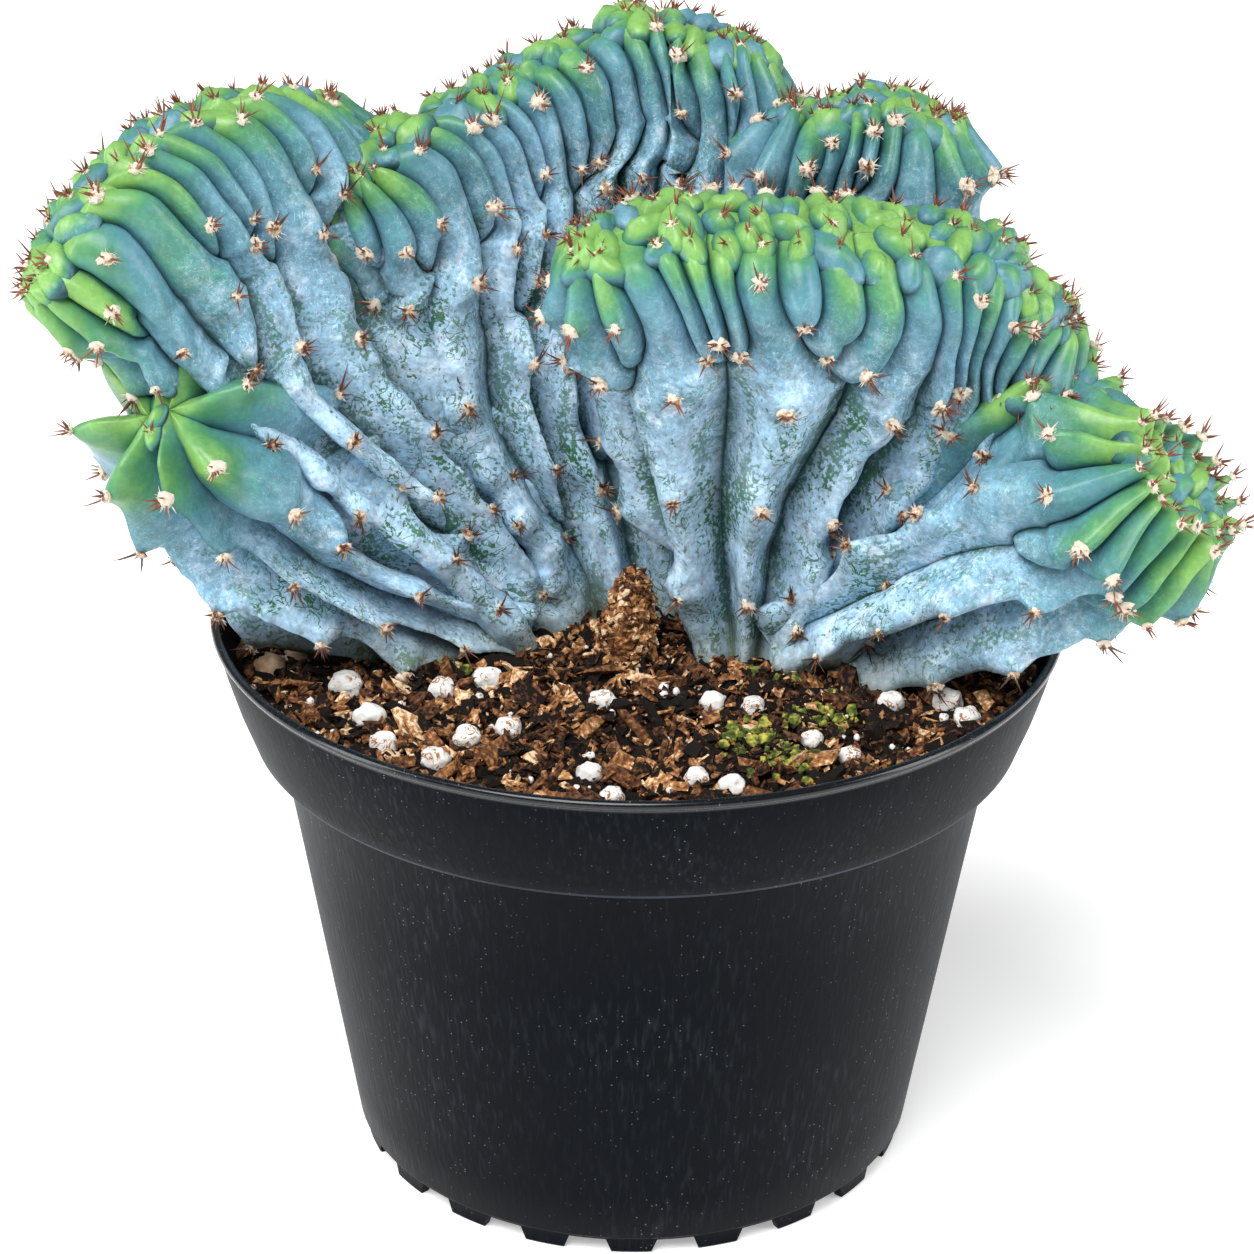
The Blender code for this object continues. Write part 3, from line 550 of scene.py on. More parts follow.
def lobe_skin(name, lobe, settings):
    """Ribbed skin of one lobe with its colour attributes, and the places of its areoles.

    The smooth lobe is moved along its normal by the height of a rib: a round
    finger near the crest and a soft ridge lower down, swollen at each areole.
    """
    # A pup has few and wide ribs, so each gets more columns.
    steps = settings.steps if lobe["sides"] > 3 else settings.steps + 6
    v = stem_rows(lobe)
    r, x, opened, tip = rib_grid(name, lobe, v, steps)
    base, up = body_point(lobe, r, v)
    normal = surface_normal(lobe, r, v, up)
    run = np.linalg.norm(np.diff(base[::-1], axis=0), axis=-1)
    down = np.concatenate([np.zeros((1, base.shape[1])), np.cumsum(run, 0)])[::-1]

    count = len(tip)
    rib = np.repeat(np.arange(count), steps)
    rng = np.random.default_rng(lobe["seed"] + 1)
    loop = np.linalg.norm(base - np.roll(base, 1, axis=1), axis=-1).sum(1)
    mean_width = (loop / opened.sum(1))[:, None]
    width = mean_width * opened[:, rib]
    rib_depth = settings.rib_depth / MM
    swollen = 1 + 0.65 * smooth(*FULL_RIDGES, down)
    deep, keeled, _, _, ageing = RIB_LOOKS[name]
    depth = np.minimum(rib_depth * swollen, 0.46 * mean_width)
    depth = depth * (0.55 + 0.45 * np.clip(v / 0.2, 0, 1))[:, None] * deep
    young = 1 - smooth(*FINGERS_END, down)
    finger = np.sqrt(np.clip(1 - np.abs(x) ** 2.2, 0, 1))[None]
    ridge = (0.5 + 0.5 * np.cos(np.pi * x))[None] ** 0.8
    keel = (1 - np.abs(x))[None] ** 0.9
    profile = (1 - keeled) * (young * finger + (1 - young) * ridge) + keeled * keel
    relief = depth * (profile * opened[:, rib] - 1)

    knob = settings.knob / MM
    side, cap = lobe["sides"], lobe["caps"]
    rng = np.random.default_rng(lobe["seed"] + 3)
    marks = []
    for k in range(count):
        own = slice(k * steps, (k + 1) * steps)
        column = k * steps + steps // 2
        drop = down[:, column]
        lowest = drop[0] if tip[k] < 0 else np.interp(tip[k], v, drop)
        scalloped = k % (side + cap) >= side or side < 4
        places = rib_areoles(rng, lowest, tip[k] < 0.45, scalloped, keeled, knob)
        fade = opened[:, k:k + 1]
        low_fade = np.clip(v / 0.25, 0, 1)[:, None]
        for at, bump, above, below in places:
            off = down[:, own] - at
            across = x[own][None] * width[:, own] / 2
            near = np.exp(-np.abs(off / np.where(off > 0, below, above)) ** 1.6)
            wide = np.exp(-(x[own][None] / 0.7) ** 2)
            relief[:, own] += bump * near * wide * fade * low_fade
            point = np.exp(-(off / 1.8) ** 2 - (across / 1.8) ** 2)
            relief[:, own] += 0.6 * point * fade * low_fade
            marks.append((column, float(np.interp(-at, -drop, v)), at))
        if tip[k] > 0:
            off = lowest - 6.5 - down[:, own]
            relief[:, own] += 0.8 * np.exp(-(off / 6.0) ** 2) * finger[:, own] * fade

    crest_fade = smooth(*RIBS_START, down)
    relief = relief * (0.35 + 0.65 * crest_fade) - 2.0 * (1 - crest_fade)
    swells = (0.3 + 0.5 * smooth(30, 60, down)) * waves(base, lobe["seed"], 14)
    relief += swells * smooth(6, 20, down)
    relief += 0.12 * waves(base, lobe["seed"] + 40, 3.2) * smooth(22, 44, down)
    relief[v >= 0.999] = -2.2
    points = nodded(name, lobe, base + normal * relief[..., None], v)
    normal = nodded(name, lobe, base + normal * (relief[..., None] + 1), v) - points

    # shade: how high on its rib a point lies. Where it is low, the skin material paints shade into the
    # creases, and on old skin keeps them green.
    open_valley = (1 - keeled) * profile + keeled * finger
    shade = np.clip(open_valley * opened[:, rib], 0, 1) ** (0.55 + 0.45 * young)
    aged = down * ageing
    if name in YOUNG_END:
        aged = aged * (0.62 + 0.45 * smooth(*YOUNG_END[name], base[..., 0]))
    attributes = {
        "down_mm": aged,
        "ridge": shade,
        "rib": np.broadcast_to(rng.uniform(0, 1, count)[rib][None], down.shape),
        "lie": np.stack([x[None] * width / 2, down,
                         np.broadcast_to(rib[None] * 13.7, down.shape)], -1),
    }
    areoles = []
    for column, row, at in marks:
        if row > 0.1:
            place = [np.interp(row, v, points[:, column, i]) for i in range(3)]
            facing = [np.interp(row, v, normal[:, column, i]) for i in range(3)]
            rising = [np.interp(row, v, up[:, column, i]) for i in range(3)]
            areoles.append((*place, *facing, *rising, at))
    return points, attributes, np.array(areoles)


def crest_tubercles(name, lobe, settings):
    """Tubercles packed over a crest: places, directions, half widths and ways down.

    One row sits on the tops of the ribs, 6.4 mm from the crest line, one between
    every second pair of ribs, 3.2 mm from it, and one along the line.
    """
    rng = np.random.default_rng(lobe["seed"] + 9)
    pitch = settings.tubercle / MM
    side, cap = lobe["sides"], lobe["caps"]
    count = 2 * (side + cap)
    thick = lobe["thick"][1]
    if RIB_LOOKS[name][2]:
        whole = np.arange(count) + 0.5
        shared = np.arange(0, count, 2) + 0.0
        crease_shade_shift = np.arange(0, side) + 0.25
        r = np.concatenate([whole, shared, crease_shade_shift])
        rows = [(whole, 6.4), (shared, 3.2), (crease_shade_shift, 0.5)]
        off = np.concatenate([np.full(len(row), away) for row, away in rows])
        off = off + rng.uniform(-1.3, 1.3, len(off)) * np.clip(off / 2, 0, 1)
        at_end = (np.mod(r, side + cap) >= side) & (off > 1)
        keep = rng.uniform(0, 1, len(r)) < np.where(at_end, 0.62, 0.9)
        r, off = (r + rng.uniform(-0.16, 0.16, len(r)))[keep], off[keep]
    else:
        # A keeled pup has three only.
        r, off = np.array([0.5, 4.0, 8.2]), np.array([1.2, 3.6, 3.4])
    v = 1 - (1 - DOME_ROW) * np.maximum(off, 0.2) / (thick * np.pi / 2)
    place, facing, rising = [], [], []
    for one_r, one_v in zip(r, v):
        grid_r, grid_v = np.array([[one_r]]), np.array([one_v])
        point, up = body_point(lobe, grid_r, grid_v)
        normal = surface_normal(lobe, grid_r, grid_v, up)
        here = nodded(name, lobe, point, grid_v)[0, 0]
        place.append(here)
        facing.append(nodded(name, lobe, point + 0.75 * normal + 0.5 * up, grid_v)[0, 0] - here)
        rising.append(nodded(name, lobe, point - up, grid_v)[0, 0] * -1 + here)
    facing = unit(unit(np.array(facing)) + rng.normal(0, 0.14, (len(r), 3)))
    size = rng.uniform(0.78, 1.2, len(r)) * pitch / 2 * (1.0 if RIB_LOOKS[name][2] else 0.6)
    return np.array(place), facing, unit(np.array(rising)), size, off


def tubercle_skin(place, facing, rising, size, down, seed):
    """One closed ball for each tubercle, drawn out down the rib, with skin attributes.

    Half widths are about size across, 1.7 size down the rib and 1.2 size outwards;
    the top half is drawn to a blunt point under its areole.
    """
    unit_ball, ball_faces = ball(11, 16)
    rng = np.random.default_rng(seed)
    over = unit(rising - (rising * facing).sum(-1, keepdims=True) * facing)
    across = np.cross(over, facing)
    n = len(size)
    stretch = np.stack([size * rng.uniform(0.85, 1.1, n), size * rng.uniform(1.3, 2.1, n),
                        size * rng.uniform(0.95, 1.4, n)], -1)
    blunt = 1 - 0.34 * np.clip(unit_ball[:, 2:], 0, 1) ** 2 * np.array([1, 1, 0])
    local = (unit_ball * blunt)[None] * stretch[:, None]
    points = (place - facing * (0.92 * size)[:, None])[:, None] + (
        local[..., :1] * across[:, None] + local[..., 1:2] * over[:, None]
        + local[..., 2:] * facing[:, None])
    points += 0.22 * waves(points, seed, 4.2)[..., None] * facing[:, None]
    rise = np.broadcast_to(unit_ball[None, :, 2], points.shape[:2])
    # The lower half of each tubercle gets an older age, which paints teal shade, and a low ridge value,
    # which paints dark crease shade round its base.
    attributes = {
        "down_mm": np.clip(down * 0.5 + rng.uniform(-6, 9, n), 0, 30)[:, None] + 11 * (1 - rise),
        "ridge": np.clip(0.16 + 0.95 * rise, 0, 1),
        "rib": np.broadcast_to(rng.uniform(-0.3, 1.3, n)[:, None], rise.shape),
        "lie": points,
    }
    tops = place + facing * (stretch[:, 2] - 1.05 * size)[:, None]
    return points, repeat_faces(ball_faces, n, len(unit_ball)), attributes, tops


def waxy_skin_material(settings):
    """Living succulent skin under a powdery wax.

    Satin where it is young and green, and dull blue-grey where the wax is
    thick.  Rubs, scratches and rib lines show the green below the wax.
    """
    mat, tree, shader = new_material("waxy_cactus_skin", IOR=1.42, Subsurface_Weight=0.0)
    down = add_node(tree, "ShaderNodeAttribute", attribute_name="down_mm").outputs["Fac"]
    ridge = add_node(tree, "ShaderNodeAttribute", attribute_name="ridge").outputs["Fac"]
    rib = add_node(tree, "ShaderNodeAttribute", attribute_name="rib").outputs["Fac"]
    lie = add_node(tree, "ShaderNodeAttribute", attribute_name="lie").outputs["Vector"]
    place = add_node(tree, "ShaderNodeTexCoord").outputs["Object"]

    patches = add_node(tree, "ShaderNodeTexNoise", {"Vector": place, "Scale": 1 / (11 * MM), "Detail": 3.0})
    shifted = add_node(tree, "ShaderNodeMath", {0: patches.outputs["Fac"], 1: 26.0, 2: -13.0},
                       operation="MULTIPLY_ADD")
    per_rib = add_node(tree, "ShaderNodeMath", {0: rib, 1: 12.0, 2: -6.0}, operation="MULTIPLY_ADD")
    moved = add_node(tree, "ShaderNodeMath", {0: down, 1: shifted.outputs[0]}, operation="ADD")
    moved = add_node(tree, "ShaderNodeMath", {0: moved.outputs[0], 1: per_rib.outputs[0]},
                     operation="ADD")
    # Valleys are shifted toward older, tealer skin and ridge tops toward green: painted teal shade in the
    # creases.
    crease_shade_shift = add_node(tree, "ShaderNodeMath", {0: ridge, 1: -9.0, 2: 6.0}, operation="MULTIPLY_ADD")
    moved = add_node(tree, "ShaderNodeMath", {0: moved.outputs[0], 1: crease_shade_shift.outputs[0]}, operation="ADD")
    age = add_node(tree, "ShaderNodeMapRange", {"Value": moved.outputs[0], "From Min": 0.0,
                                                "From Max": 60.0})
    grown = add_node(tree, "ShaderNodeValToRGB", {0: age.outputs[0]}, stops=[
        (0.0, settings.green), (0.03, settings.green), (0.14, settings.mid_green), (0.26, settings.teal),
        (0.5, settings.blue), (0.95, settings.wax)])

    # Thick wax lies in cloudy patches, pale on pale.
    bloom = add_node(tree, "ShaderNodeTexNoise", {"Vector": place, "Scale": 1 / (5 * MM), "Detail": 5.0,
                                                  "Roughness": 0.62, "Distortion": 0.6})
    bloomed = add_node(tree, "ShaderNodeMapRange", {"Value": bloom.outputs["Fac"], "From Min": 0.5,
                                                    "From Max": 0.68, "To Max": 0.75})
    old = add_node(tree, "ShaderNodeMapRange", {"Value": down, "From Min": 16.0, "From Max": 42.0})
    waxed = add_node(tree, "ShaderNodeMath", {0: bloomed.outputs[0], 1: old.outputs[0]},
                     operation="MULTIPLY")
    dusted = add_node(tree, "ShaderNodeMix", {"Factor": waxed.outputs[0], 6: grown.outputs["Color"],
                                              7: (*srgb("#D2E2F0"), 1)}, data_type="RGBA")

    # It comes off in flakes and squiggles a few tenths of a millimetre wide.
    squiggle = add_node(tree, "ShaderNodeTexNoise",
                        {"Vector": place, "Scale": 1 / (2.9 * MM), "Detail": 4.0, "Distortion": 1.1})
    line = add_node(tree, "ShaderNodeMath", {0: squiggle.outputs["Fac"], 1: 0.5, 2: 0.022},
                    operation="COMPARE")
    patch = add_node(tree, "ShaderNodeTexNoise", {"Vector": place, "Scale": 1 / (9 * MM), "Detail": 2.0})
    where = add_node(tree, "ShaderNodeMapRange", {"Value": patch.outputs["Fac"], "From Min": 0.44,
                                                  "From Max": 0.54})
    worn = add_node(tree, "ShaderNodeMath", {0: line.outputs[0], 1: where.outputs[0]},
                    operation="MULTIPLY")
    worn = add_node(tree, "ShaderNodeMath", {0: worn.outputs[0], 1: old.outputs[0]}, operation="MULTIPLY")

    # Fine pale scratches show where the powder was only pushed aside.
    scratch = add_node(tree, "ShaderNodeTexNoise", {"Vector": place, "Scale": 1 / (1.8 * MM),
                                                    "Detail": 3.0, "Distortion": 1.6})
    hair = add_node(tree, "ShaderNodeMath", {0: scratch.outputs["Fac"], 1: 0.47, 2: 0.011},
                    operation="COMPARE")
    grey = add_node(tree, "ShaderNodeMapRange", {"Value": down, "From Min": 10.0, "From Max": 34.0,
                                                 "To Max": 0.5})
    pushed = add_node(tree, "ShaderNodeMath", {0: hair.outputs[0], 1: grey.outputs[0]},
                      operation="MULTIPLY")
    scored = add_node(tree, "ShaderNodeMix", {"Factor": pushed.outputs[0], 6: dusted.outputs[2],
                                              7: (*srgb("#E2EDF6"), 1)}, data_type="RGBA")

    # Valleys and some rib lines stay green, with a stippled edge against the wax.
    stretched = add_node(tree, "ShaderNodeVectorMath", {0: lie, 1: (0.4, 0.06, 1.0)},
                         operation="MULTIPLY")
    streak = add_node(tree, "ShaderNodeTexNoise", {"Vector": stretched.outputs[0], "Scale": 1.0,
                                                   "Detail": 3.0})
    stipple = add_node(tree, "ShaderNodeTexNoise", {"Vector": place, "Scale": 1 / (0.75 * MM),
                                                    "Detail": 2.0})
    dots = add_node(tree, "ShaderNodeMath", {0: stipple.outputs["Fac"], 1: 0.9, 2: -0.45},
                    operation="MULTIPLY_ADD")
    bare = add_node(tree, "ShaderNodeMath", {0: streak.outputs["Fac"], 1: dots.outputs[0]},
                    operation="ADD")
    low_rib = add_node(tree, "ShaderNodeMath", {0: ridge, 1: -0.2, 2: 0.15}, operation="MULTIPLY_ADD")
    bare = add_node(tree, "ShaderNodeMath", {0: bare.outputs[0], 1: low_rib.outputs[0]},
                    operation="ADD")
    streaked = add_node(tree, "ShaderNodeMapRange", {"Value": bare.outputs[0], "From Min": 0.60,
                                                     "From Max": 0.66})
    streaked = add_node(tree, "ShaderNodeMath", {0: streaked.outputs[0], 1: old.outputs[0]},
                        operation="MULTIPLY")
    rubbed = add_node(tree, "ShaderNodeMath", {0: streaked.outputs[0], 1: worn.outputs[0]},
                      operation="MAXIMUM")
    kept = add_node(tree, "ShaderNodeMapRange", {"Value": patches.outputs["Fac"], "From Min": 0.35,
                                                 "From Max": 0.65, "To Min": 0.6, "To Max": 1.0})
    amount = add_node(tree, "ShaderNodeMath", {0: rubbed.outputs[0], 1: kept.outputs[0]},
                      operation="MULTIPLY")
    with_rubs = add_node(tree, "ShaderNodeMix", {"Factor": amount.outputs[0], 6: scored.outputs[2],
                                                 7: (*settings.rubbed, 1)}, data_type="RGBA")

    # Powder and blotches make the wax uneven, the more so the further down.
    powder = add_node(tree, "ShaderNodeTexNoise", {"Vector": place, "Scale": 1 / (0.9 * MM),
                                                   "Detail": 2.0})
    powdered = add_node(tree, "ShaderNodeMapRange", {"Value": powder.outputs["Fac"], "From Min": 0.3,
                                                     "From Max": 0.7, "To Min": 0.86, "To Max": 1.14})
    blotch = add_node(tree, "ShaderNodeTexNoise", {"Vector": place, "Scale": 1 / (3.6 * MM), "Detail": 4.0,
                                                   "Roughness": 0.6})
    blotched = add_node(tree, "ShaderNodeMapRange", {"Value": blotch.outputs["Fac"], "From Min": 0.35,
                                                     "From Max": 0.65, "To Min": 0.8, "To Max": 1.22})
    uneven = add_node(tree, "ShaderNodeMath", {0: powdered.outputs[0], 1: blotched.outputs[0]},
                      operation="MULTIPLY")
    matured = add_node(tree, "ShaderNodeMapRange", {"Value": down, "From Min": 8.0, "From Max": 36.0,
                                                    "To Min": 0.45, "To Max": 1.15})
    value = add_node(tree, "ShaderNodeMix", {0: matured.outputs[0], 2: 1.0, 3: uneven.outputs[0]},
                     clamp_factor=False)
    tone = add_node(tree, "ShaderNodeHueSaturation",
                    {"Value": value.outputs[0], "Color": with_rubs.outputs[2]})

    # Creases get painted shade, a dark teal strongest at their bottoms, and the foot turns to cork where it
    # leaves the mix.
    crease_shade_amount = add_node(tree, "ShaderNodeMapRange", {"Value": ridge, "From Min": 0.0, "From Max": 0.5,
                                                   "To Min": 0.92, "To Max": 0.0})
    crease_shaded = add_node(tree, "ShaderNodeMix", {"Factor": crease_shade_amount.outputs[0], 6: tone.outputs["Color"],
                                               7: (*settings.crease_shade, 1)}, data_type="RGBA")
    height = add_node(tree, "ShaderNodeSeparateXYZ", {0: place})
    low = add_node(tree, "ShaderNodeMapRange", {"Value": height.outputs["Z"], "From Min": 108 * MM,
                                                "From Max": 96 * MM, "To Max": 0.7})
    footed = add_node(tree, "ShaderNodeMix", {"Factor": low.outputs[0], 6: crease_shaded.outputs[2],
                                              7: (*settings.cork, 1)}, data_type="RGBA")
    tree.links.new(footed.outputs[2], shader.inputs["Base Color"])

    dull = add_node(tree, "ShaderNodeMapRange", {"Value": age.outputs[0], "To Min": 0.32, "To Max": 0.5})
    tree.links.new(dull.outputs[0], shader.inputs["Roughness"])
    grain = add_node(tree, "ShaderNodeTexNoise", {"Vector": place, "Scale": 1 / (0.6 * MM), "Detail": 3.0})
    fine = add_node(tree, "ShaderNodeBump", {"Height": grain.outputs["Fac"], "Strength": 0.25,
                                             "Distance": 0.15 * MM})
    scratched = add_node(tree, "ShaderNodeBump", {"Height": rubbed.outputs[0], "Strength": 0.35,
                                                  "Distance": 0.2 * MM, "Normal": fine.outputs[0]},
                         invert=True)
    tree.links.new(scratched.outputs[0], shader.inputs["Normal"])
    return mat


# Places, facings, rises and ways down of the areoles, from the stems to their wool.
AREOLES = []
HAIRS_PER_PAD = 22


class CACTUS_OT_stems(bpy.types.Operator):
    """Build the ribbed skin of every crested fan and pup"""

    bl_idname = "cactus.stems"
    bl_label = "Crested stems"

    def execute(self, context):
        settings = context.scene.crest_settings
        mat = waxy_skin_material(settings)
        AREOLES.clear()
        for name, lobe in LOBES.items():
            points, attributes, areoles = lobe_skin(name, lobe, settings)
            rows, columns = points.shape[:2]
            ring = np.arange(columns)
            shut = np.concatenate([zip_faces(ring + (rows - 1) * columns), zip_faces(ring)[:, ::-1]])
            made = lay_mesh(f"{name}_stem", points, [grid_faces(rows, columns), shut], mat, attributes)
            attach(made, "root")
            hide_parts("crested_cactus")
            place, facing, rising, size, down = crest_tubercles(name, lobe, settings)
            bumps, faces, attributes, tops = tubercle_skin(place, facing, rising, size, down,
                                                           lobe["seed"])
            knobs = lay_mesh(f"{name}_tubercles", bumps, faces, mat, attributes)
            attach(knobs, "root")
            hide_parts("crested_cactus")
            AREOLES.append(areoles)
            tipped = np.random.default_rng(lobe["seed"] + 13).uniform(0, 1, len(tops)) < 0.7
            AREOLES.append(np.concatenate([tops, facing, rising, down[:, None] * 0.3], 1)[tipped])
        return {"FINISHED"}


def wool_material(settings):
    """Areole wool: matted short hair, soft and matt, greyer and browner with age."""
    mat, tree, shader = new_material("matted_areole_wool", Roughness=0.95, Sheen_Weight=0.4,
                                     Sheen_Roughness=0.5, Specular_IOR_Level=0.1)
    age = add_node(tree, "ShaderNodeAttribute", attribute_name="age").outputs["Fac"]
    place = add_node(tree, "ShaderNodeTexCoord").outputs["Object"]
    felt = add_node(tree, "ShaderNodeTexNoise", {"Vector": place, "Scale": 1 / (1.1 * MM), "Detail": 4.0})
    both = add_node(tree, "ShaderNodeMath", {0: felt.outputs["Fac"], 1: 2.2, 2: -1.02},
                    operation="MULTIPLY_ADD")
    part = add_node(tree, "ShaderNodeMath", {0: age, 1: 0.45, 2: both.outputs[0]}, operation="MULTIPLY_ADD",
                    use_clamp=True)
    colour = add_node(tree, "ShaderNodeValToRGB", {0: part.outputs[0]}, stops=[
        (0.0, settings.wool), (0.3, settings.wool), (0.55, settings.old_wool), (0.8, settings.brown)])
    tree.links.new(colour.outputs["Color"], shader.inputs["Base Color"])
    bump = add_node(tree, "ShaderNodeBump", {"Height": felt.outputs["Fac"], "Strength": 0.9,
                                             "Distance": 0.3 * MM})
    tree.links.new(bump.outputs[0], shader.inputs["Normal"])
    return mat


def spine_material(settings):
    """Spines: smooth horny tissue, red-brown when young, darker and duller when old."""
    mat, tree, shader = new_material("horny_spine", Roughness=0.45)
    age = add_node(tree, "ShaderNodeAttribute", attribute_name="age").outputs["Fac"]
    along = add_node(tree, "ShaderNodeAttribute", attribute_name="along").outputs["Fac"]
    aged = add_node(tree, "ShaderNodeMix", {"Factor": age, 6: (*settings.red, 1), 7: (*settings.brown, 1)},
                    data_type="RGBA")
    pale = add_node(tree, "ShaderNodeMapRange", {"Value": along, "From Max": 0.35, "To Min": 0.45,
                                                 "To Max": 0.0})
    rooted = add_node(tree, "ShaderNodeMix", {"Factor": pale.outputs[0], 6: aged.outputs[2],
                                              7: (*settings.wool, 1)}, data_type="RGBA")
    tree.links.new(rooted.outputs[2], shader.inputs["Base Color"])
    return mat


class CACTUS_OT_areoles(bpy.types.Operator):
    """Build the wool pads and the spines of every areole"""

    bl_idname = "cactus.areoles"
    bl_label = "Areoles and spines"

    def execute(self, context):
        settings = context.scene.areole_settings
        marks = np.concatenate(AREOLES)
        place, facing, rising, down = marks[:, :3], unit(marks[:, 3:6]), marks[:, 6:9], marks[:, 9]
        rng = np.random.default_rng(404)
        count = len(marks)
        age = np.clip(smooth(6, 60, down) * 0.8 + rng.uniform(-0.15, 0.25, count), 0, 1)
        young = 1 - smooth(4, 14, down)
        width = settings.pad / MM * (1 - 0.45 * young - 0.2 * age) * rng.uniform(0.7, 1.25, count)

        # Pad: a dome of rings, z falling with the square of the ring's radius, plus tufts.
        rings, around = 4, 12
        rho = np.linspace(0.25, 1, rings)[:, None] * np.ones(around)
        phi = np.linspace(0, 2 * np.pi, around, endpoint=False)[None] * np.ones((rings, 1))
        rho = np.append(rho.ravel(), [0.0, 0.0])
        phi = np.append(phi.ravel(), [0.0, 0.0])
        across, over = frames(facing, rng.uniform(0, 6, count))
        tuft = rng.uniform(-0.3, 0.3, (count, len(rho)))
        spread = (width / 2)[:, None] * rho[None] * (1 + tuft)
        rise = (width * 0.24)[:, None] * (1 - 1.6 * rho[None] ** 2.2) + width[:, None] * tuft * 0.22
        rise[:, -1] = -0.4 * width
        pads = place[:, None] + (spread * np.cos(phi))[..., None] * across[:, None] \
            + 0.85 * (spread * np.sin(phi))[..., None] * over[:, None] \
            + rise[..., None] * facing[:, None]
        wool = wool_material(settings)
        eye = 0.6 * np.exp(-(rho / 0.4) ** 2)
        faces = repeat_faces(shell_faces(rings, around), count, len(rho))
        made = lay_mesh("areole_wool", pads, faces, wool,
                        {"age": age[:, None] + eye * (1 - young[:, None])})
        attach(made, "root")
        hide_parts("crested_cactus")

        # Stray hairs: thin three-sided blades that stand out of the edge of each pad.
        tufts = np.repeat(np.arange(count), HAIRS_PER_PAD)
        m = len(tufts)
        turn = rng.uniform(0, 2 * np.pi, m)
        outward = np.cos(turn)[:, None] * across[tufts] + np.sin(turn)[:, None] * over[tufts]
        hair = unit(facing[tufts] * rng.uniform(0.1, 1.2, (m, 1)) + outward + rng.normal(0, 0.3, (m, 3)))
        foot = place[tufts] + outward * (width[tufts] * rng.uniform(0.05, 0.42, m))[:, None]
        flat, edge = frames(hair, turn)
        long = (width[tufts] * rng.uniform(0.25, 0.55, m))[:, None]
        blade = np.stack([foot - 0.12 * flat, foot + 0.12 * flat, foot + 0.1 * edge,
                          foot + hair * long], 1)
        sides = np.array([[0, 2, 1], [1, 3, 0], [2, 3, 1], [0, 3, 2]])
        made = lay_mesh("areole_hairs", blade, repeat_faces([sides], m, 4), wool,
                        {"age": np.repeat(age[tufts] * 0.5, 4)}, smooth_faces=False)
        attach(made, "root")
        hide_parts("crested_cactus")

        # Spines: needles of three sides that bend a little upwards.
        each = rng.integers(4, 8, count)
        owner = np.repeat(np.arange(count), each)
        n = len(owner)
        turn = rng.uniform(0, 2 * np.pi, n)
        splay = np.cos(turn)[:, None] * across[owner] + np.sin(turn)[:, None] * over[owner]
        lean = rng.uniform(0.25, 1.5, n)[:, None]
        way = unit(facing[owner] + lean * splay)
        low, high = settings.spine_short / MM, settings.spine_long / MM
        length = low + (high - low) * rng.beta(1.5, 2.2, n)
        length = length * (1 - 0.25 * young[owner])
        root = place[owner] + splay * (width[owner] * rng.uniform(0.05, 0.2, n))[:, None]
        bend = unit(rising[owner] + 0.2) * (length * rng.uniform(-0.05, 0.22, n))[:, None]
        rows, sides = 4, 3
        s = np.linspace(0, 1, rows)
        spine = root[:, None] + way[:, None] * (s[None] * length[:, None] - 0.3)[..., None] \
            + bend[:, None] * (s**2)[None, :, None]
        ring_a, ring_b = frames(way, turn)
        taper = (1.02 - s)[None] ** 0.7
        thin = settings.spine_width / MM / 2 * taper * rng.uniform(0.7, 1.1, n)[:, None]
        angle = 2 * np.pi * np.arange(sides) / sides
        ring = np.cos(angle)[None, :, None] * ring_a[:, None] \
            + np.sin(angle)[None, :, None] * ring_b[:, None]
        points = spine[:, :, None] + thin[:, :, None, None] * ring[:, None]
        stride = rows * sides
        ends = np.array([[stride - 3, stride - 2, stride - 1], [2, 1, 0]])
        faces = repeat_faces([grid_faces(rows, sides), ends], n, stride)
        along = np.broadcast_to(s[None, :, None], (n, rows, sides))
        aged = np.clip(age[owner] + rng.uniform(-0.3, 0.5, n), 0, 1)
        made = lay_mesh("spines", points, faces, spine_material(settings),
                        {"age": np.repeat(aged, stride), "along": along})
        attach(made, "root")
        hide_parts("crested_cactus")
        return {"FINISHED"}


# Potting mix: height of its top at the wall and in the middle, its radius at the top,
# the radius over which the mound falls, and radius and height of its underside.
SOIL_EDGE_Z = 96.0
SOIL_MID_Z = 100.0
SOIL_R = 72.6
MOUND_R = 74.0
MIX_BOTTOM = (50.0, 5.5)
# Rings of the bed's top and points round each, longest chip of bark, crumbs of moss and
# of perlite, and chips on the upright chunk.
BED_RINGS = 90
BED_AROUND = 220
LONGEST_CHIP = 6.5
MOSS_CRUMBS = 420
PERLITE_CRUMBS = 260
CHUNK_CHIPS = 900


def soil_height(radius):
    """Top of the mounded mix, highest in the middle."""
    return SOIL_EDGE_Z + (SOIL_MID_Z - SOIL_EDGE_Z) * (1 - (radius / MOUND_R) ** 2)


def stem_clearance(points):
    """Distance from each point to the smooth body of the nearest lobe, near the mix."""
    t, s = np.meshgrid(np.linspace(-1, 1, 9), np.linspace(0, 0.75, 46), indexing="ij")
    nearest = np.full(len(points), 99.0)
    for lobe in LOBES.values():
        sheet = mid_sheet(lobe, t.ravel(), s.ravel())
        thin, thick = lobe["thick"]
        body = thin + (thick - thin) * np.sin(np.pi / 2 * np.clip(s.ravel() / 0.88, 0, 1)) ** 1.5
        low = sheet[:, 2] - body < 112
        if not low.any():
            continue
        gap = np.linalg.norm(points[:, None] - sheet[None, low], axis=-1) - body[None, low]
        nearest = np.minimum(nearest, gap.min(1))
    return nearest


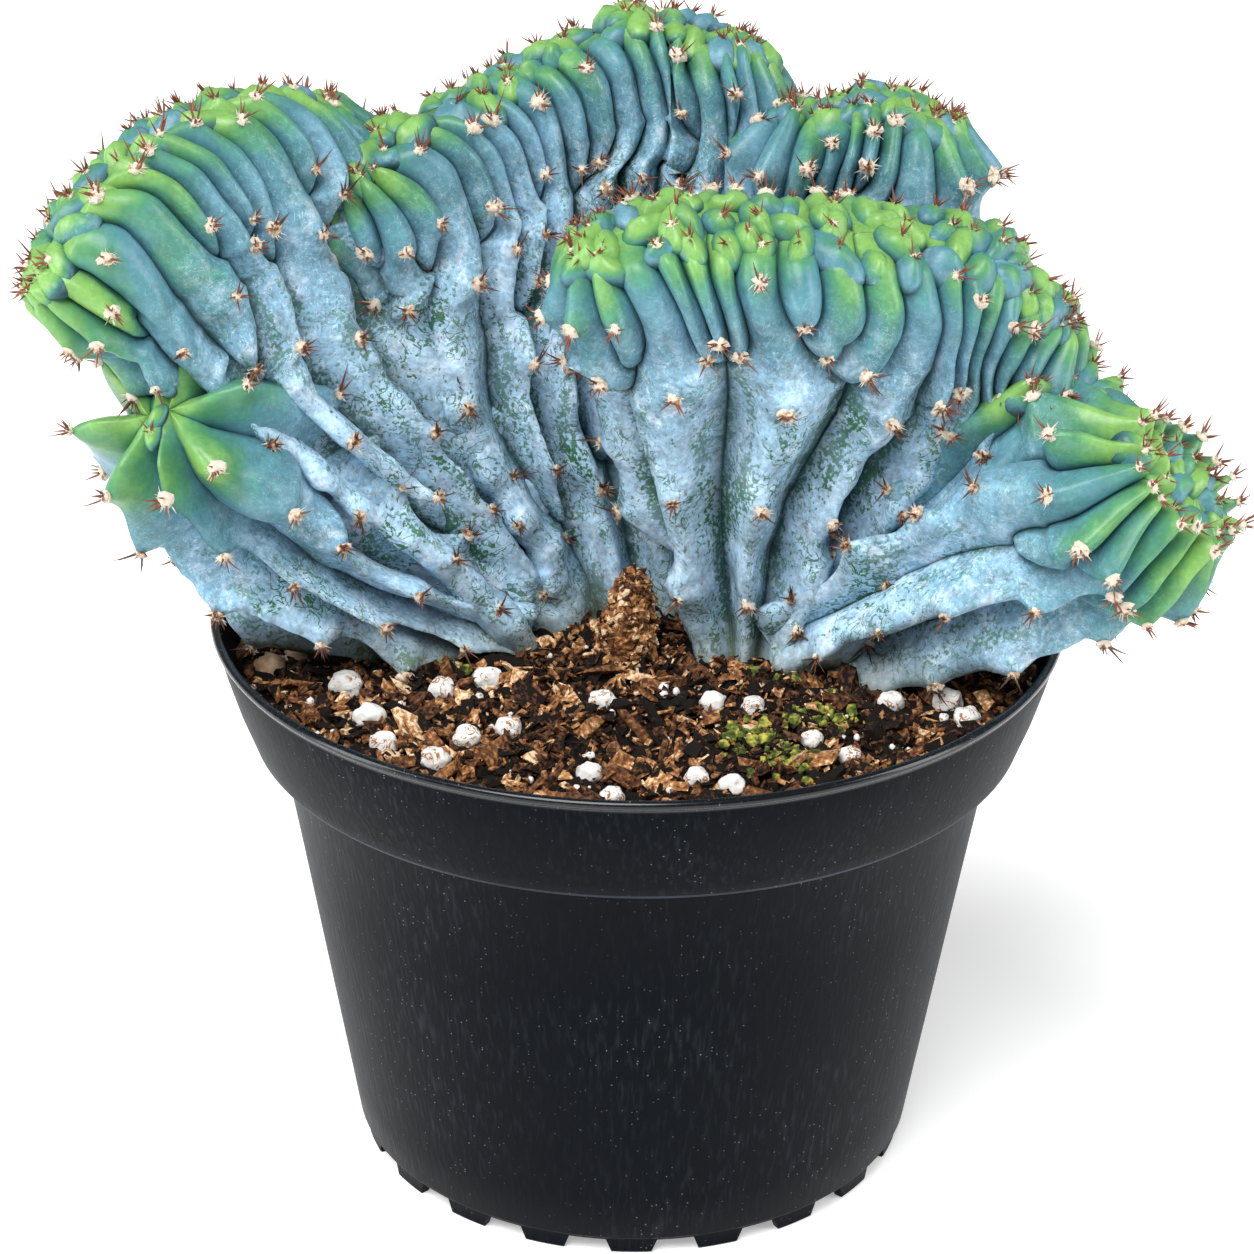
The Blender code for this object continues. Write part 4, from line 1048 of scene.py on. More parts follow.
def bark_material(name, settings, shift):
    """Shredded bark: matt broken wood, every chip its own brown, with fibres along it."""
    mat, tree, shader = new_material(name, Roughness=0.9, Specular_IOR_Level=0.25)
    tint = add_node(tree, "ShaderNodeAttribute", attribute_name="tint").outputs["Fac"]
    place = add_node(tree, "ShaderNodeTexCoord").outputs["Object"]
    fibre = add_node(tree, "ShaderNodeTexNoise", {"Vector": place, "Scale": 1 / (0.8 * MM), "Detail": 4.0})
    mixed = add_node(tree, "ShaderNodeMath", {0: fibre.outputs["Fac"], 1: 1.2, 2: shift - 0.62},
                     operation="MULTIPLY_ADD")
    value = add_node(tree, "ShaderNodeMath", {0: tint, 1: mixed.outputs[0]}, operation="ADD",
                     use_clamp=True)
    colour = add_node(tree, "ShaderNodeValToRGB", {0: value.outputs[0]}, stops=[
        (0.0, settings.darkest), (0.3, settings.darkest), (0.6, settings.brown), (0.86, settings.orange),
        (1.0, settings.straw)])
    tree.links.new(colour.outputs["Color"], shader.inputs["Base Color"])
    bump = add_node(tree, "ShaderNodeBump", {"Height": fibre.outputs["Fac"], "Strength": 0.8,
                                             "Distance": 0.3 * MM})
    tree.links.new(bump.outputs[0], shader.inputs["Normal"])
    return mat


CORNERS = np.array([[-1, -1, -1], [1, -1, -1], [1, 1, -1], [-1, 1, -1],
                    [-1, -1, 1], [1, -1, 1], [1, 1, 1], [-1, 1, 1]], float)
SIDES = np.array([[0, 3, 2, 1], [4, 5, 6, 7], [0, 1, 5, 4], [1, 2, 6, 5], [2, 3, 7, 6], [3, 0, 4, 7]])


def chip_points(rng, place, size, facing, ragged=0.35):
    """Broken chips: boxes with every corner knocked about, laid across their facings."""
    along, over = frames(facing, rng.uniform(0, 2 * np.pi, len(place)))
    corner = CORNERS[None] * (1 + rng.uniform(-ragged, ragged, (len(place), 8, 3))) * size[:, None] / 2
    return place[:, None] + corner[..., :1] * along[:, None] + corner[..., 1:2] * over[:, None] \
        + corner[..., 2:] * facing[:, None]


# Middles of the heaps of moss on the mix, x and y.
MOSS_HEAPS = [(32, -32), (19, -40), (25, -47), (-38, -8), (-42, -4), (-33, -11), (24, -14)]


def moss_material(settings):
    """Moss: damp matt green crumbs, yellow where they have dried."""
    mat, tree, shader = new_material("damp_moss", Roughness=0.9, Specular_IOR_Level=0.2)
    place = add_node(tree, "ShaderNodeTexCoord").outputs["Object"]
    cloud = add_node(tree, "ShaderNodeTexNoise", {"Vector": place, "Scale": 1 / (1.6 * MM), "Detail": 3.0})
    colour = add_node(tree, "ShaderNodeValToRGB", {0: cloud.outputs["Fac"]}, stops=[
        (0.35, srgb("#2E3A1A")), (0.5, settings.moss), (0.66, srgb("#B9B04E"))])
    tree.links.new(colour.outputs["Color"], shader.inputs["Base Color"])
    return mat


class CACTUS_OT_mix(bpy.types.Operator):
    """Build the gritty mix: its bed, bark chips and moss crumbs"""

    bl_idname = "cactus.mix"
    bl_label = "Bark mix"

    def execute(self, context):
        settings = context.scene.mix_settings
        bark = bark_material("shredded_bark", settings, 0.0)

        # Bed: rings of the mound, rough by summed waves, then down the pot wall to its floor.
        bottom_r, bottom_z = MIX_BOTTOM
        radius = np.concatenate([np.linspace(0.4, SOIL_R, BED_RINGS), [70.2, 68.0, 62.5, bottom_r, 0.4]])
        height = np.concatenate([soil_height(radius[:BED_RINGS]), [86.5, 84.2, 83.0, bottom_z, bottom_z]])
        phi = np.linspace(0, 2 * np.pi, BED_AROUND, endpoint=False)
        points = np.stack([radius[:, None] * np.cos(phi), radius[:, None] * np.sin(phi),
                           np.repeat(height[:, None], BED_AROUND, 1)], -1)
        rough = 0.5 * waves(points, 71, 7) + 0.45 * waves(points, 72, 3)
        inside = smooth(SOIL_R, SOIL_R - 3, radius[:BED_RINGS, None])
        points[:BED_RINGS, :, 2] += np.clip(rough[:BED_RINGS] - 1.0, -2.6, 0.2) * inside
        poles = [[0, 0, points[0, :, 2].mean()], [0, 0, bottom_z]]
        points = np.concatenate([points.reshape(-1, 3), poles])
        # The bed is tinted near the darkest bark: dark mix between the chips, and also painted shade in the
        # gaps among them.
        bed = lay_mesh("mix_bed", points, shell_faces(len(radius), BED_AROUND), bark,
                       {"tint": np.full(len(points), 0.12)})
        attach(bed, "root")
        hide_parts("potting_mix")

        # Chips: broken boxes over the mound, clear of the stems and of the stones.
        rng = np.random.default_rng(808)
        n = settings.chips
        length = settings.chip_length / MM * rng.lognormal(-0.22, 0.58, n)
        length = np.clip(length, 0.6, LONGEST_CHIP)
        wide = length * rng.uniform(0.14, 0.7, n)
        size = np.stack([length, wide, np.clip(wide * rng.uniform(0.25, 0.7, n), 0.25, 1.8)], -1)
        spot = rng.uniform(0, 2 * np.pi, n)
        reach = (SOIL_R - 0.4 - size[:, 0] * 0.35) * np.sqrt(rng.uniform(0, 1, n))
        place = np.stack([reach * np.cos(spot), reach * np.sin(spot),
                          soil_height(reach) + rng.uniform(-1.9, 0.6, n)], -1)
        facing = unit(np.stack([rng.normal(0, 0.8, n), rng.normal(0, 0.8, n), np.ones(n)], -1))
        clear = stem_clearance(place) > np.where(size[:, 0] > 3, 0.5, 0.3 * size[:, 0] - 3.5)
        stones = np.array([np.sum(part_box(name), axis=0) / (2 * MM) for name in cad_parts
                           if name.startswith(("perlite", "pebble"))])
        near = np.linalg.norm(place[:, None, :2] - stones[None, :, :2], axis=-1).min(1)
        clear &= (near > 2.2 + 0.4 * size[:, 0]) | (place[:, 2] < soil_height(reach) - 1.7)
        place, size, facing = place[clear], size[clear], facing[clear]
        points = chip_points(rng, place, size, facing, 0.5)
        # Chips that would pierce the pot wall are bent in along it.
        out = np.maximum(np.hypot(points[..., 0], points[..., 1]) / SOIL_R, 1.0)
        points[..., :2] /= out[..., None]
        tint = np.clip(rng.beta(1.35, 1.45, len(place)) + 0.02, 0, 1)
        chips = lay_mesh("bark_chips", points, repeat_faces([SIDES], len(place), 8), bark,
                         {"tint": np.repeat(tint, 8)}, smooth_faces=False)
        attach(chips, "root")

        # Moss: small round crumbs in loose heaps.
        heap = rng.integers(0, len(MOSS_HEAPS), MOSS_CRUMBS)
        place = np.array(MOSS_HEAPS)[heap] + rng.normal(0, 1, (MOSS_CRUMBS, 2)) * [3.2, 2.6]
        height = soil_height(np.hypot(place[:, 0], place[:, 1])) + rng.uniform(-0.5, 0.8, MOSS_CRUMBS)
        place = np.concatenate([place, height[:, None]], 1)
        place = place[stem_clearance(place) > 0.6]
        n = len(place)
        unit_ball, ball_faces = ball(3, 7)
        size = rng.uniform(0.35, 1.1, (n, 1)) * rng.uniform(0.6, 1.2, (n, 3))
        rough = rng.uniform(0.7, 1.3, (n, len(unit_ball), 1))
        points = place[:, None] + unit_ball[None] * size[:, None] * rough
        moss = lay_mesh("moss_crumbs", points, repeat_faces(ball_faces, n, len(unit_ball)),
                        moss_material(settings), smooth_faces=False)
        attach(moss, "root")
        return {"FINISHED"}


def perlite_material(settings):
    """Perlite: glassy white foam, matt and chalky, with greyer patches and a pitted bump."""
    mat, tree, shader = new_material("expanded_perlite", Roughness=0.85, Specular_IOR_Level=0.3)
    place = add_node(tree, "ShaderNodeTexCoord").outputs["Object"]
    pits = add_node(tree, "ShaderNodeTexVoronoi", {"Vector": place, "Scale": 1 / (1.1 * MM)})
    soot = add_node(tree, "ShaderNodeTexNoise", {"Vector": place, "Scale": 1 / (2.6 * MM), "Detail": 4.0})
    stain = add_node(tree, "ShaderNodeMapRange", {"Value": soot.outputs["Fac"], "From Min": 0.55,
                                                  "From Max": 0.75, "To Max": 0.6})
    chalk = add_node(tree, "ShaderNodeMix", {"Factor": stain.outputs[0], 6: (*settings.perlite, 1),
                                             7: (*srgb("#B7AB9E"), 1)}, data_type="RGBA")
    # Bark juice stains it brown along fine cracks.
    crack = add_node(tree, "ShaderNodeTexNoise", {"Vector": place, "Scale": 1 / (2.2 * MM), "Detail": 3.0,
                                                  "Distortion": 1.4})
    line = add_node(tree, "ShaderNodeMath", {0: crack.outputs["Fac"], 1: 0.55, 2: 0.032},
                    operation="COMPARE")
    part = add_node(tree, "ShaderNodeTexNoise", {"Vector": place, "Scale": 1 / (4.5 * MM)})
    juice = add_node(tree, "ShaderNodeMapRange", {"Value": part.outputs["Fac"], "From Min": 0.46,
                                                  "From Max": 0.53})
    seeped = add_node(tree, "ShaderNodeMath", {0: line.outputs[0], 1: juice.outputs[0]},
                      operation="MULTIPLY")
    colour = add_node(tree, "ShaderNodeMix", {"Factor": seeped.outputs[0], 6: chalk.outputs[2],
                                              7: (*settings.stain, 1)}, data_type="RGBA")
    tree.links.new(colour.outputs[2], shader.inputs["Base Color"])
    bump = add_node(tree, "ShaderNodeBump", {"Height": pits.outputs["Distance"], "Strength": 0.6,
                                             "Distance": 0.35 * MM})
    tree.links.new(bump.outputs[0], shader.inputs["Normal"])
    return mat


def pebble_material(settings):
    """River pebble: water-worn stone with pale and brown mottling, dull when dry."""
    mat, tree, shader = new_material("worn_pebble", Roughness=0.6)
    place = add_node(tree, "ShaderNodeTexCoord").outputs["Object"]
    mottle = add_node(tree, "ShaderNodeTexNoise", {"Vector": place, "Scale": 1 / (2.2 * MM), "Detail": 5.0})
    colour = add_node(tree, "ShaderNodeValToRGB", {0: mottle.outputs["Fac"]}, stops=[
        (0.3, srgb("#9C7355")), (0.5, settings.pebble), (0.7, srgb("#E2C7A8"))])
    tree.links.new(colour.outputs["Color"], shader.inputs["Base Color"])
    bump = add_node(tree, "ShaderNodeBump", {"Height": mottle.outputs["Fac"], "Strength": 0.4,
                                             "Distance": 0.2 * MM})
    tree.links.new(bump.outputs[0], shader.inputs["Normal"])
    return mat


def stones_in_boxes(nodes, rows, columns, seed, roughness):
    """A rough ball that fills the box of every named node, with three dents.

    Each dent lowers the ball by 2.5 times its roughness, as a bell over the cosine
    of the angle from the dent's middle.  Returns points and faces.
    """
    unit_ball, ball_faces = ball(rows, columns)
    rng = np.random.default_rng(seed)
    blocks = []
    for i, node in enumerate(nodes):
        low, high = (np.array(corner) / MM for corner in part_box(node))
        local = np.sign(unit_ball) * np.abs(unit_ball) ** 0.92
        swell = 1 + roughness * waves(unit_ball * 3 + 10 * i, seed + i, 3.1)
        swell -= 0.5 * roughness * np.clip(waves(unit_ball * 3 + 7 * i, seed + i + 50, 1.2), 0, 3)
        for middle in unit(rng.normal(size=(3, 3))):
            off = 1 - unit_ball @ middle
            swell -= 2.5 * roughness * np.exp(-off / 0.07)
        blocks.append((low + high) / 2 + local * swell[:, None] * (high - low) / 2)
    return np.concatenate(blocks), repeat_faces(ball_faces, len(nodes), len(unit_ball))


class CACTUS_OT_stones(bpy.types.Operator):
    """Build the perlite, the pebbles and the upright chunk of bark"""

    bl_idname = "cactus.stones"
    bl_label = "Perlite, pebbles and bark chunk"

    def execute(self, context):
        settings = context.scene.mix_settings
        names = sorted(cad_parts)
        grains = [n for n in names if n.startswith("perlite")]
        points, faces = stones_in_boxes(grains, 18, 26, 7, 0.05)
        white = perlite_material(settings)
        made = lay_mesh("perlite_grains", points, faces, white)
        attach(made, "root")
        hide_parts(*grains)

        pebbles = [n for n in names if n.startswith("pebble")]
        points, faces = stones_in_boxes(pebbles, 20, 30, 31, 0.03)
        made = lay_mesh("tan_pebbles", points, faces, pebble_material(settings))
        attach(made, "root")
        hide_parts(*pebbles)

        # Crumbs of perlite between the chips.
        rng = np.random.default_rng(99)
        n = PERLITE_CRUMBS
        spot, reach = rng.uniform(0, 2 * np.pi, n), (SOIL_R - 2) * np.sqrt(rng.uniform(0, 1, n))
        place = np.stack([reach * np.cos(spot), reach * np.sin(spot),
                          soil_height(reach) + rng.uniform(-0.7, 0.3, n)], -1)
        place = place[stem_clearance(place) > 1.0]
        n = len(place)
        unit_ball, ball_faces = ball(5, 8)
        size = rng.uniform(0.5, 1.9, n)[:, None] * rng.uniform(0.7, 1.1, (n, 3)) / 2
        rough = rng.uniform(0.8, 1.15, (n, len(unit_ball), 1))
        points = place[:, None] + unit_ball[None] * size[:, None] * rough
        made = lay_mesh("perlite_crumbs", points, repeat_faces(ball_faces, n, len(unit_ball)), white)
        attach(made, "root")

        # Chunk: a cone of crumbs round a rough core, spreading over its foot.
        low, high = (np.array(corner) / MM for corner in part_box("bark_chunk"))
        middle = (low + high) / 2
        bark = bark_material("fresh_bark_chunk", settings, 0.2)
        unit_ball, (quads, fans) = ball(26, 34)
        swell = 1 + 0.13 * waves(unit_ball * 4, 5, 3.0) + 0.07 * waves(unit_ball * 4, 6, 0.9)

        def on_cone(ball_point, grown):
            """Ball points stretched to a cone, 6.9 mm out at its foot and 2.6 mm at its top."""
            share = (ball_point[:, 2:] + 1) / 2
            wide = (6.9 - 4.3 * share**0.8) * grown
            tall = np.full_like(wide, (high - low)[2] / 2)
            shape = ball_point * np.concatenate([wide, wide * 0.8, tall], 1)
            return middle + shape + np.concatenate([2.0 * share - 1.0, 0 * share, 0 * share], 1)

        core = on_cone(unit_ball, (swell * 0.86)[:, None])
        n = CHUNK_CHIPS
        lon, rise = rng.uniform(0, 2 * np.pi, n), rng.uniform(-0.9, 0.97, n)
        level = np.sqrt(1 - rise**2)
        out = np.stack([level * np.cos(lon), level * np.sin(lon), rise], -1)
        place = on_cone(out, rng.uniform(0.82, 1.02, (n, 1)))
        facing = unit(out + 0.5 * rng.normal(size=(n, 3)))
        size = np.stack([rng.uniform(0.7, 3.4, n), rng.uniform(0.5, 1.8, n),
                         rng.uniform(0.4, 1.1, n)], -1)
        chips = chip_points(rng, place, size, facing)
        points = np.concatenate([core, chips.reshape(-1, 3)])
        tint = np.concatenate([np.full(len(core), 0.3), np.repeat(rng.beta(3.0, 2.6, n), 8)])
        sides = repeat_faces([SIDES], n, 8)[0] + len(core)
        made = lay_mesh("bark_chunk_rough", points, [np.concatenate([quads, sides]), fans], bark,
                        {"tint": tint}, smooth_faces=False)
        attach(made, "root")
        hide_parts("bark_chunk")
        return {"FINISHED"}


# Nursery pot: height, radius of the rim, floor's top and underside, and number of feet.
POT_H = 105.1
RIM_R = 76.0
FLOOR_Z = (5.0, 3.2)
FEET = 20
# Drain holes: how many, how far from the middle, and their radius.
DRAINS = 6
DRAIN_OUT = 38.0
DRAIN_R = 4.5
# Notch between two feet: half its angle at the floor and at its top, and its height.
NOTCH = (4.9, 3.75, 2.8)


def pot_profile():
    """Profile (radius, height): up inside from the floor, over the rim and down outside."""
    bead_r = 0.85
    turn = np.radians(np.linspace(200, -60, 16))
    bead = np.stack([RIM_R - bead_r + bead_r * np.cos(turn),
                     POT_H - bead_r + bead_r * np.sin(turn)], -1)
    inside = [(12, FLOOR_Z[0]), (30, FLOOR_Z[0]), (48.7, FLOOR_Z[0]), (50.3, 6.6), (57, 48),
              (63.4, 84.2), (63.9, 84.5), (68.0, 84.5), (68.3, 84.9), (70.5, 94), (73.9, 103.2)]
    band = [(75.25, 103.1), (75.2, 102.6), (73.7, 97), (71.9, 91), (70.2, 86.4), (69.3, 83.9),
            (69.0, 83.5), (68.6, 83.3), (65.2, 83.3), (64.8, 83.1), (64.6, 82.7)]
    outside = [(60.6, 59), (56.5, 34), (53.0, 12.8), (51.6, 4.1), (51.3, 3.6), (50.8, 3.4),
               (50.6, 3.0), (50.5, 2.8)]
    return inside, bead, band, outside


def plastic_material(settings):
    """Injection-moulded polypropylene: black with a blue tone, satin, scuffed and a little dusty.

    The sides carry upright rubs from stacking, laid on more heavily at the left and right
    edges as a painted sheen there, and fine pale specks sit in the grain of the mould.
    """
    mat, tree, shader = new_material("moulded_black_polypropylene", IOR=1.49, Specular_IOR_Level=0.06,
                                     Specular_Tint=(0.72, 0.86, 1.0, 1.0))
    place = add_node(tree, "ShaderNodeTexCoord").outputs["Object"]
    upright = add_node(tree, "ShaderNodeMapping", {"Vector": place, "Scale": (1.0, 1.0, 0.06)})
    rubs = add_node(tree, "ShaderNodeTexNoise", {"Vector": upright.outputs[0], "Scale": 1 / (0.8 * MM),
                                                 "Detail": 5.0})
    rubbed = add_node(tree, "ShaderNodeMapRange", {"Value": rubs.outputs["Fac"], "From Min": 0.5,
                                                   "From Max": 0.72})
    cloud = add_node(tree, "ShaderNodeTexNoise", {"Vector": place, "Scale": 1 / (30 * MM), "Detail": 3.0})
    clouded = add_node(tree, "ShaderNodeMapRange", {"Value": cloud.outputs["Fac"], "From Min": 0.4,
                                                    "From Max": 0.65, "To Min": 0.15, "To Max": 0.7})
    amount = add_node(tree, "ShaderNodeMath", {0: rubbed.outputs[0], 1: clouded.outputs[0]},
                      operation="MULTIPLY")
    # The rubs are stronger at the left and right edges than in the middle of the front, which paints a grey
    # sheen along those edges.
    axes = add_node(tree, "ShaderNodeSeparateXYZ", {0: place})
    aside = add_node(tree, "ShaderNodeMath", {0: axes.outputs["X"]}, operation="ABSOLUTE")
    side_sheen_weight = add_node(tree, "ShaderNodeMapRange", {"Value": aside.outputs[0], "From Min": 28 * MM,
                                                   "From Max": 56 * MM, "To Min": 0.25, "To Max": 0.5})
    amount = add_node(tree, "ShaderNodeMath", {0: amount.outputs[0], 1: side_sheen_weight.outputs[0]},
                      operation="MULTIPLY")
    # A pale line, broken up by the cloud noise, runs along the lower edge of the band.
    radius = add_node(tree, "ShaderNodeVectorMath", {0: place, 1: (1, 1, 0)}, operation="MULTIPLY")
    radius = add_node(tree, "ShaderNodeVectorMath", {0: radius.outputs[0]}, operation="LENGTH")
    proud = add_node(tree, "ShaderNodeMath", {0: radius.outputs["Value"], 1: 68.2 * MM},
                     operation="GREATER_THAN")
    edge = add_node(tree, "ShaderNodeMath", {0: axes.outputs["Z"], 1: 83.75 * MM, 2: 0.35 * MM},
                    operation="COMPARE")
    edge = add_node(tree, "ShaderNodeMath", {0: edge.outputs[0], 1: proud.outputs[0]},
                    operation="MULTIPLY")
    edge = add_node(tree, "ShaderNodeMath", {0: edge.outputs[0], 1: cloud.outputs["Fac"]},
                    operation="MULTIPLY")
    amount = add_node(tree, "ShaderNodeMath", {0: amount.outputs[0], 1: edge.outputs[0]},
                      operation="MAXIMUM")
    base = add_node(tree, "ShaderNodeMix", {"Factor": amount.outputs[0], 6: (*settings.plastic, 1),
                                            7: (*settings.scuffed_and_sheen, 1)}, data_type="RGBA")
    # Dust specks are about 0.2 mm across and 0.9 mm apart.
    specks = add_node(tree, "ShaderNodeTexVoronoi", {"Vector": place, "Scale": 1 / (0.9 * MM)})
    dot = add_node(tree, "ShaderNodeMath", {0: specks.outputs["Distance"], 1: 0.13},
                   operation="LESS_THAN")
    few = add_node(tree, "ShaderNodeSeparateColor", {0: specks.outputs["Color"]})
    chosen = add_node(tree, "ShaderNodeMath", {0: few.outputs[0], 1: 0.72}, operation="GREATER_THAN")
    dusty = add_node(tree, "ShaderNodeMath", {0: dot.outputs[0], 1: chosen.outputs[0]},
                     operation="MULTIPLY")
    dusty = add_node(tree, "ShaderNodeMath", {0: dusty.outputs[0], 1: clouded.outputs[0]},
                     operation="MULTIPLY")
    colour = add_node(tree, "ShaderNodeMix", {"Factor": dusty.outputs[0], 6: base.outputs[2],
                                              7: (*settings.dust, 1)}, data_type="RGBA")
    tree.links.new(colour.outputs[2], shader.inputs["Base Color"])
    # The rolled rim is polished by handling.
    rough = add_node(tree, "ShaderNodeMapRange", {"Value": rubs.outputs["Fac"], "To Min": 0.34,
                                                  "To Max": 0.56})
    rim = add_node(tree, "ShaderNodeMapRange", {"Value": axes.outputs["Z"], "From Min": 102.8 * MM,
                                                "From Max": 103.4 * MM, "To Max": -0.2})
    rough = add_node(tree, "ShaderNodeMath", {0: rough.outputs[0], 1: rim.outputs[0]}, operation="ADD")
    tree.links.new(rough.outputs[0], shader.inputs["Roughness"])
    polish = add_node(tree, "ShaderNodeMath", {0: rim.outputs[0], 1: -4.0}, operation="MULTIPLY")
    tree.links.new(polish.outputs[0], shader.inputs["Coat Weight"])
    shader.inputs["Coat Roughness"].default_value = 0.18
    grain = add_node(tree, "ShaderNodeTexNoise", {"Vector": place, "Scale": 1 / (0.8 * MM), "Detail": 2.0})
    fine = add_node(tree, "ShaderNodeBump", {"Height": grain.outputs["Fac"], "Strength": 0.12,
                                             "Distance": 0.1 * MM})
    drawn = add_node(tree, "ShaderNodeBump", {"Height": rubs.outputs["Fac"], "Strength": 0.25,
                                              "Distance": 0.25 * MM, "Normal": fine.outputs[0]})
    tree.links.new(drawn.outputs[0], shader.inputs["Normal"])
    return mat


class CACTUS_OT_pot(bpy.types.Operator):
    """Build the black nursery pot with its rolled rim, band and notched foot"""

    bl_idname = "cactus.pot"
    bl_label = "Nursery pot"

    def execute(self, context):
        settings = context.scene.pot_settings
        inside, bead, band, outside = pot_profile()
        upper = np.array(inside + bead.tolist() + band + outside, float)
        foot = np.array([(50.45, 0.4), (50.1, 0.0), (48.6, 0.0), (48.3, 0.4), (48.2, FLOOR_Z[1])])
        floor = np.array([(42.0, FLOOR_Z[1]), (20.0, FLOOR_Z[1]), (6.0, FLOOR_Z[1])])
        profile = np.concatenate([upper, foot, floor])

        # Columns: evenly over each foot, and right at the sloping sides of every notch.
        floor_half, top_half, notch_h = NOTCH
        pitch = 360 / FEET
        on_foot = np.linspace(-pitch / 2 + floor_half, pitch / 2 - floor_half, settings.steps - 4)
        columns = np.concatenate([on_foot, pitch / 2 + np.array([-top_half, -1.2, 1.2, top_half])])
        degrees = (columns[None] + pitch * np.arange(FEET)[:, None]).ravel()
        lift = np.tile(np.concatenate([np.zeros(len(on_foot)), np.full(4, notch_h)]), FEET)
        angle = np.radians(degrees)
        height = np.repeat(profile[:, 1:], len(angle), 1)
        low = slice(len(upper), len(upper) + 4)
        raised = np.maximum(height[low], lift[None] + 0.02 * height[low])
        height[low] = np.where(lift[None] > 0, raised, height[low])
        points = np.stack([profile[:, :1] * np.cos(angle), profile[:, :1] * np.sin(angle), height], -1)
        points = np.concatenate([points.reshape(-1, 3), [[0, 0, z] for z in FLOOR_Z]])
        pot = lay_mesh("black_pot", points, shell_faces(len(profile), len(angle)),
                       plastic_material(settings))
        cut_drains(pot)
        pot.data.polygons.foreach_set("use_smooth", np.ones(len(pot.data.polygons), bool))
        pot.data.set_sharp_from_angle(angle=math.radians(38))
        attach(pot, "root")
        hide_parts("nursery_pot")
        return {"FINISHED"}


def cut_drains(pot):
    """Cut the round drain holes through the floor of the pot."""
    bm = bmesh.new()
    for i in range(DRAINS):
        angle = math.radians(360 / DRAINS * i)
        place = Matrix.Translation((DRAIN_OUT * MM * math.cos(angle), DRAIN_OUT * MM * math.sin(angle),
                                    sum(FLOOR_Z) / 2 * MM))
        bmesh.ops.create_cone(bm, cap_ends=True, segments=32, radius1=DRAIN_R * MM,
                              radius2=DRAIN_R * MM, depth=10 * MM, matrix=place)
    mesh = bpy.data.meshes.new("drain_cutter")
    bm.to_mesh(mesh)
    bm.free()
    cutter = bpy.data.objects.new("drain_cutter", mesh)
    bpy.context.scene.collection.objects.link(cutter)
    change = pot.modifiers.new("drains", "BOOLEAN")
    change.operation = "DIFFERENCE"
    change.object = cutter
    change.solver = "MANIFOLD"
    graph = bpy.context.evaluated_depsgraph_get()
    cut = bpy.data.meshes.new_from_object(pot.evaluated_get(graph))
    pot.modifiers.clear()
    pot.data = cut
    bpy.data.objects.remove(cutter)


# Camera of the photograph: tilt down, roll, distance and aim, then its focal length and
# the photograph's width in pixels, which give the focal length in mm on this sensor.
TILT = math.radians(25.93)
ROLL = math.radians(0.55)
AWAY = 0.705
AIM = (-0.00184, 0.0, 0.0998)
FOCAL_PX = 3937
PHOTO_PX = 1254
SENSOR = 36
LENS = SENSOR * FOCAL_PX / PHOTO_PX
# Half width of the floor in mm.
FLOOR_HALF = 8000.0
# Side lamps: width and height, where they stand on the two sides, and their aim.
LAMP_SIZE = (0.35, 0.9)
LAMP_SPOTS = {"left_side": (-0.95, -0.25, 0.45), "right_side": (0.95, -0.25, 0.45)}
LAMP_AIM = (0, 0, 0.12)


def placed(right, up, back, spot):
    """Matrix of a lamp or camera at a spot, from its own three directions."""
    return Matrix([*zip(right, up, back, spot), (0, 0, 0, 1)])


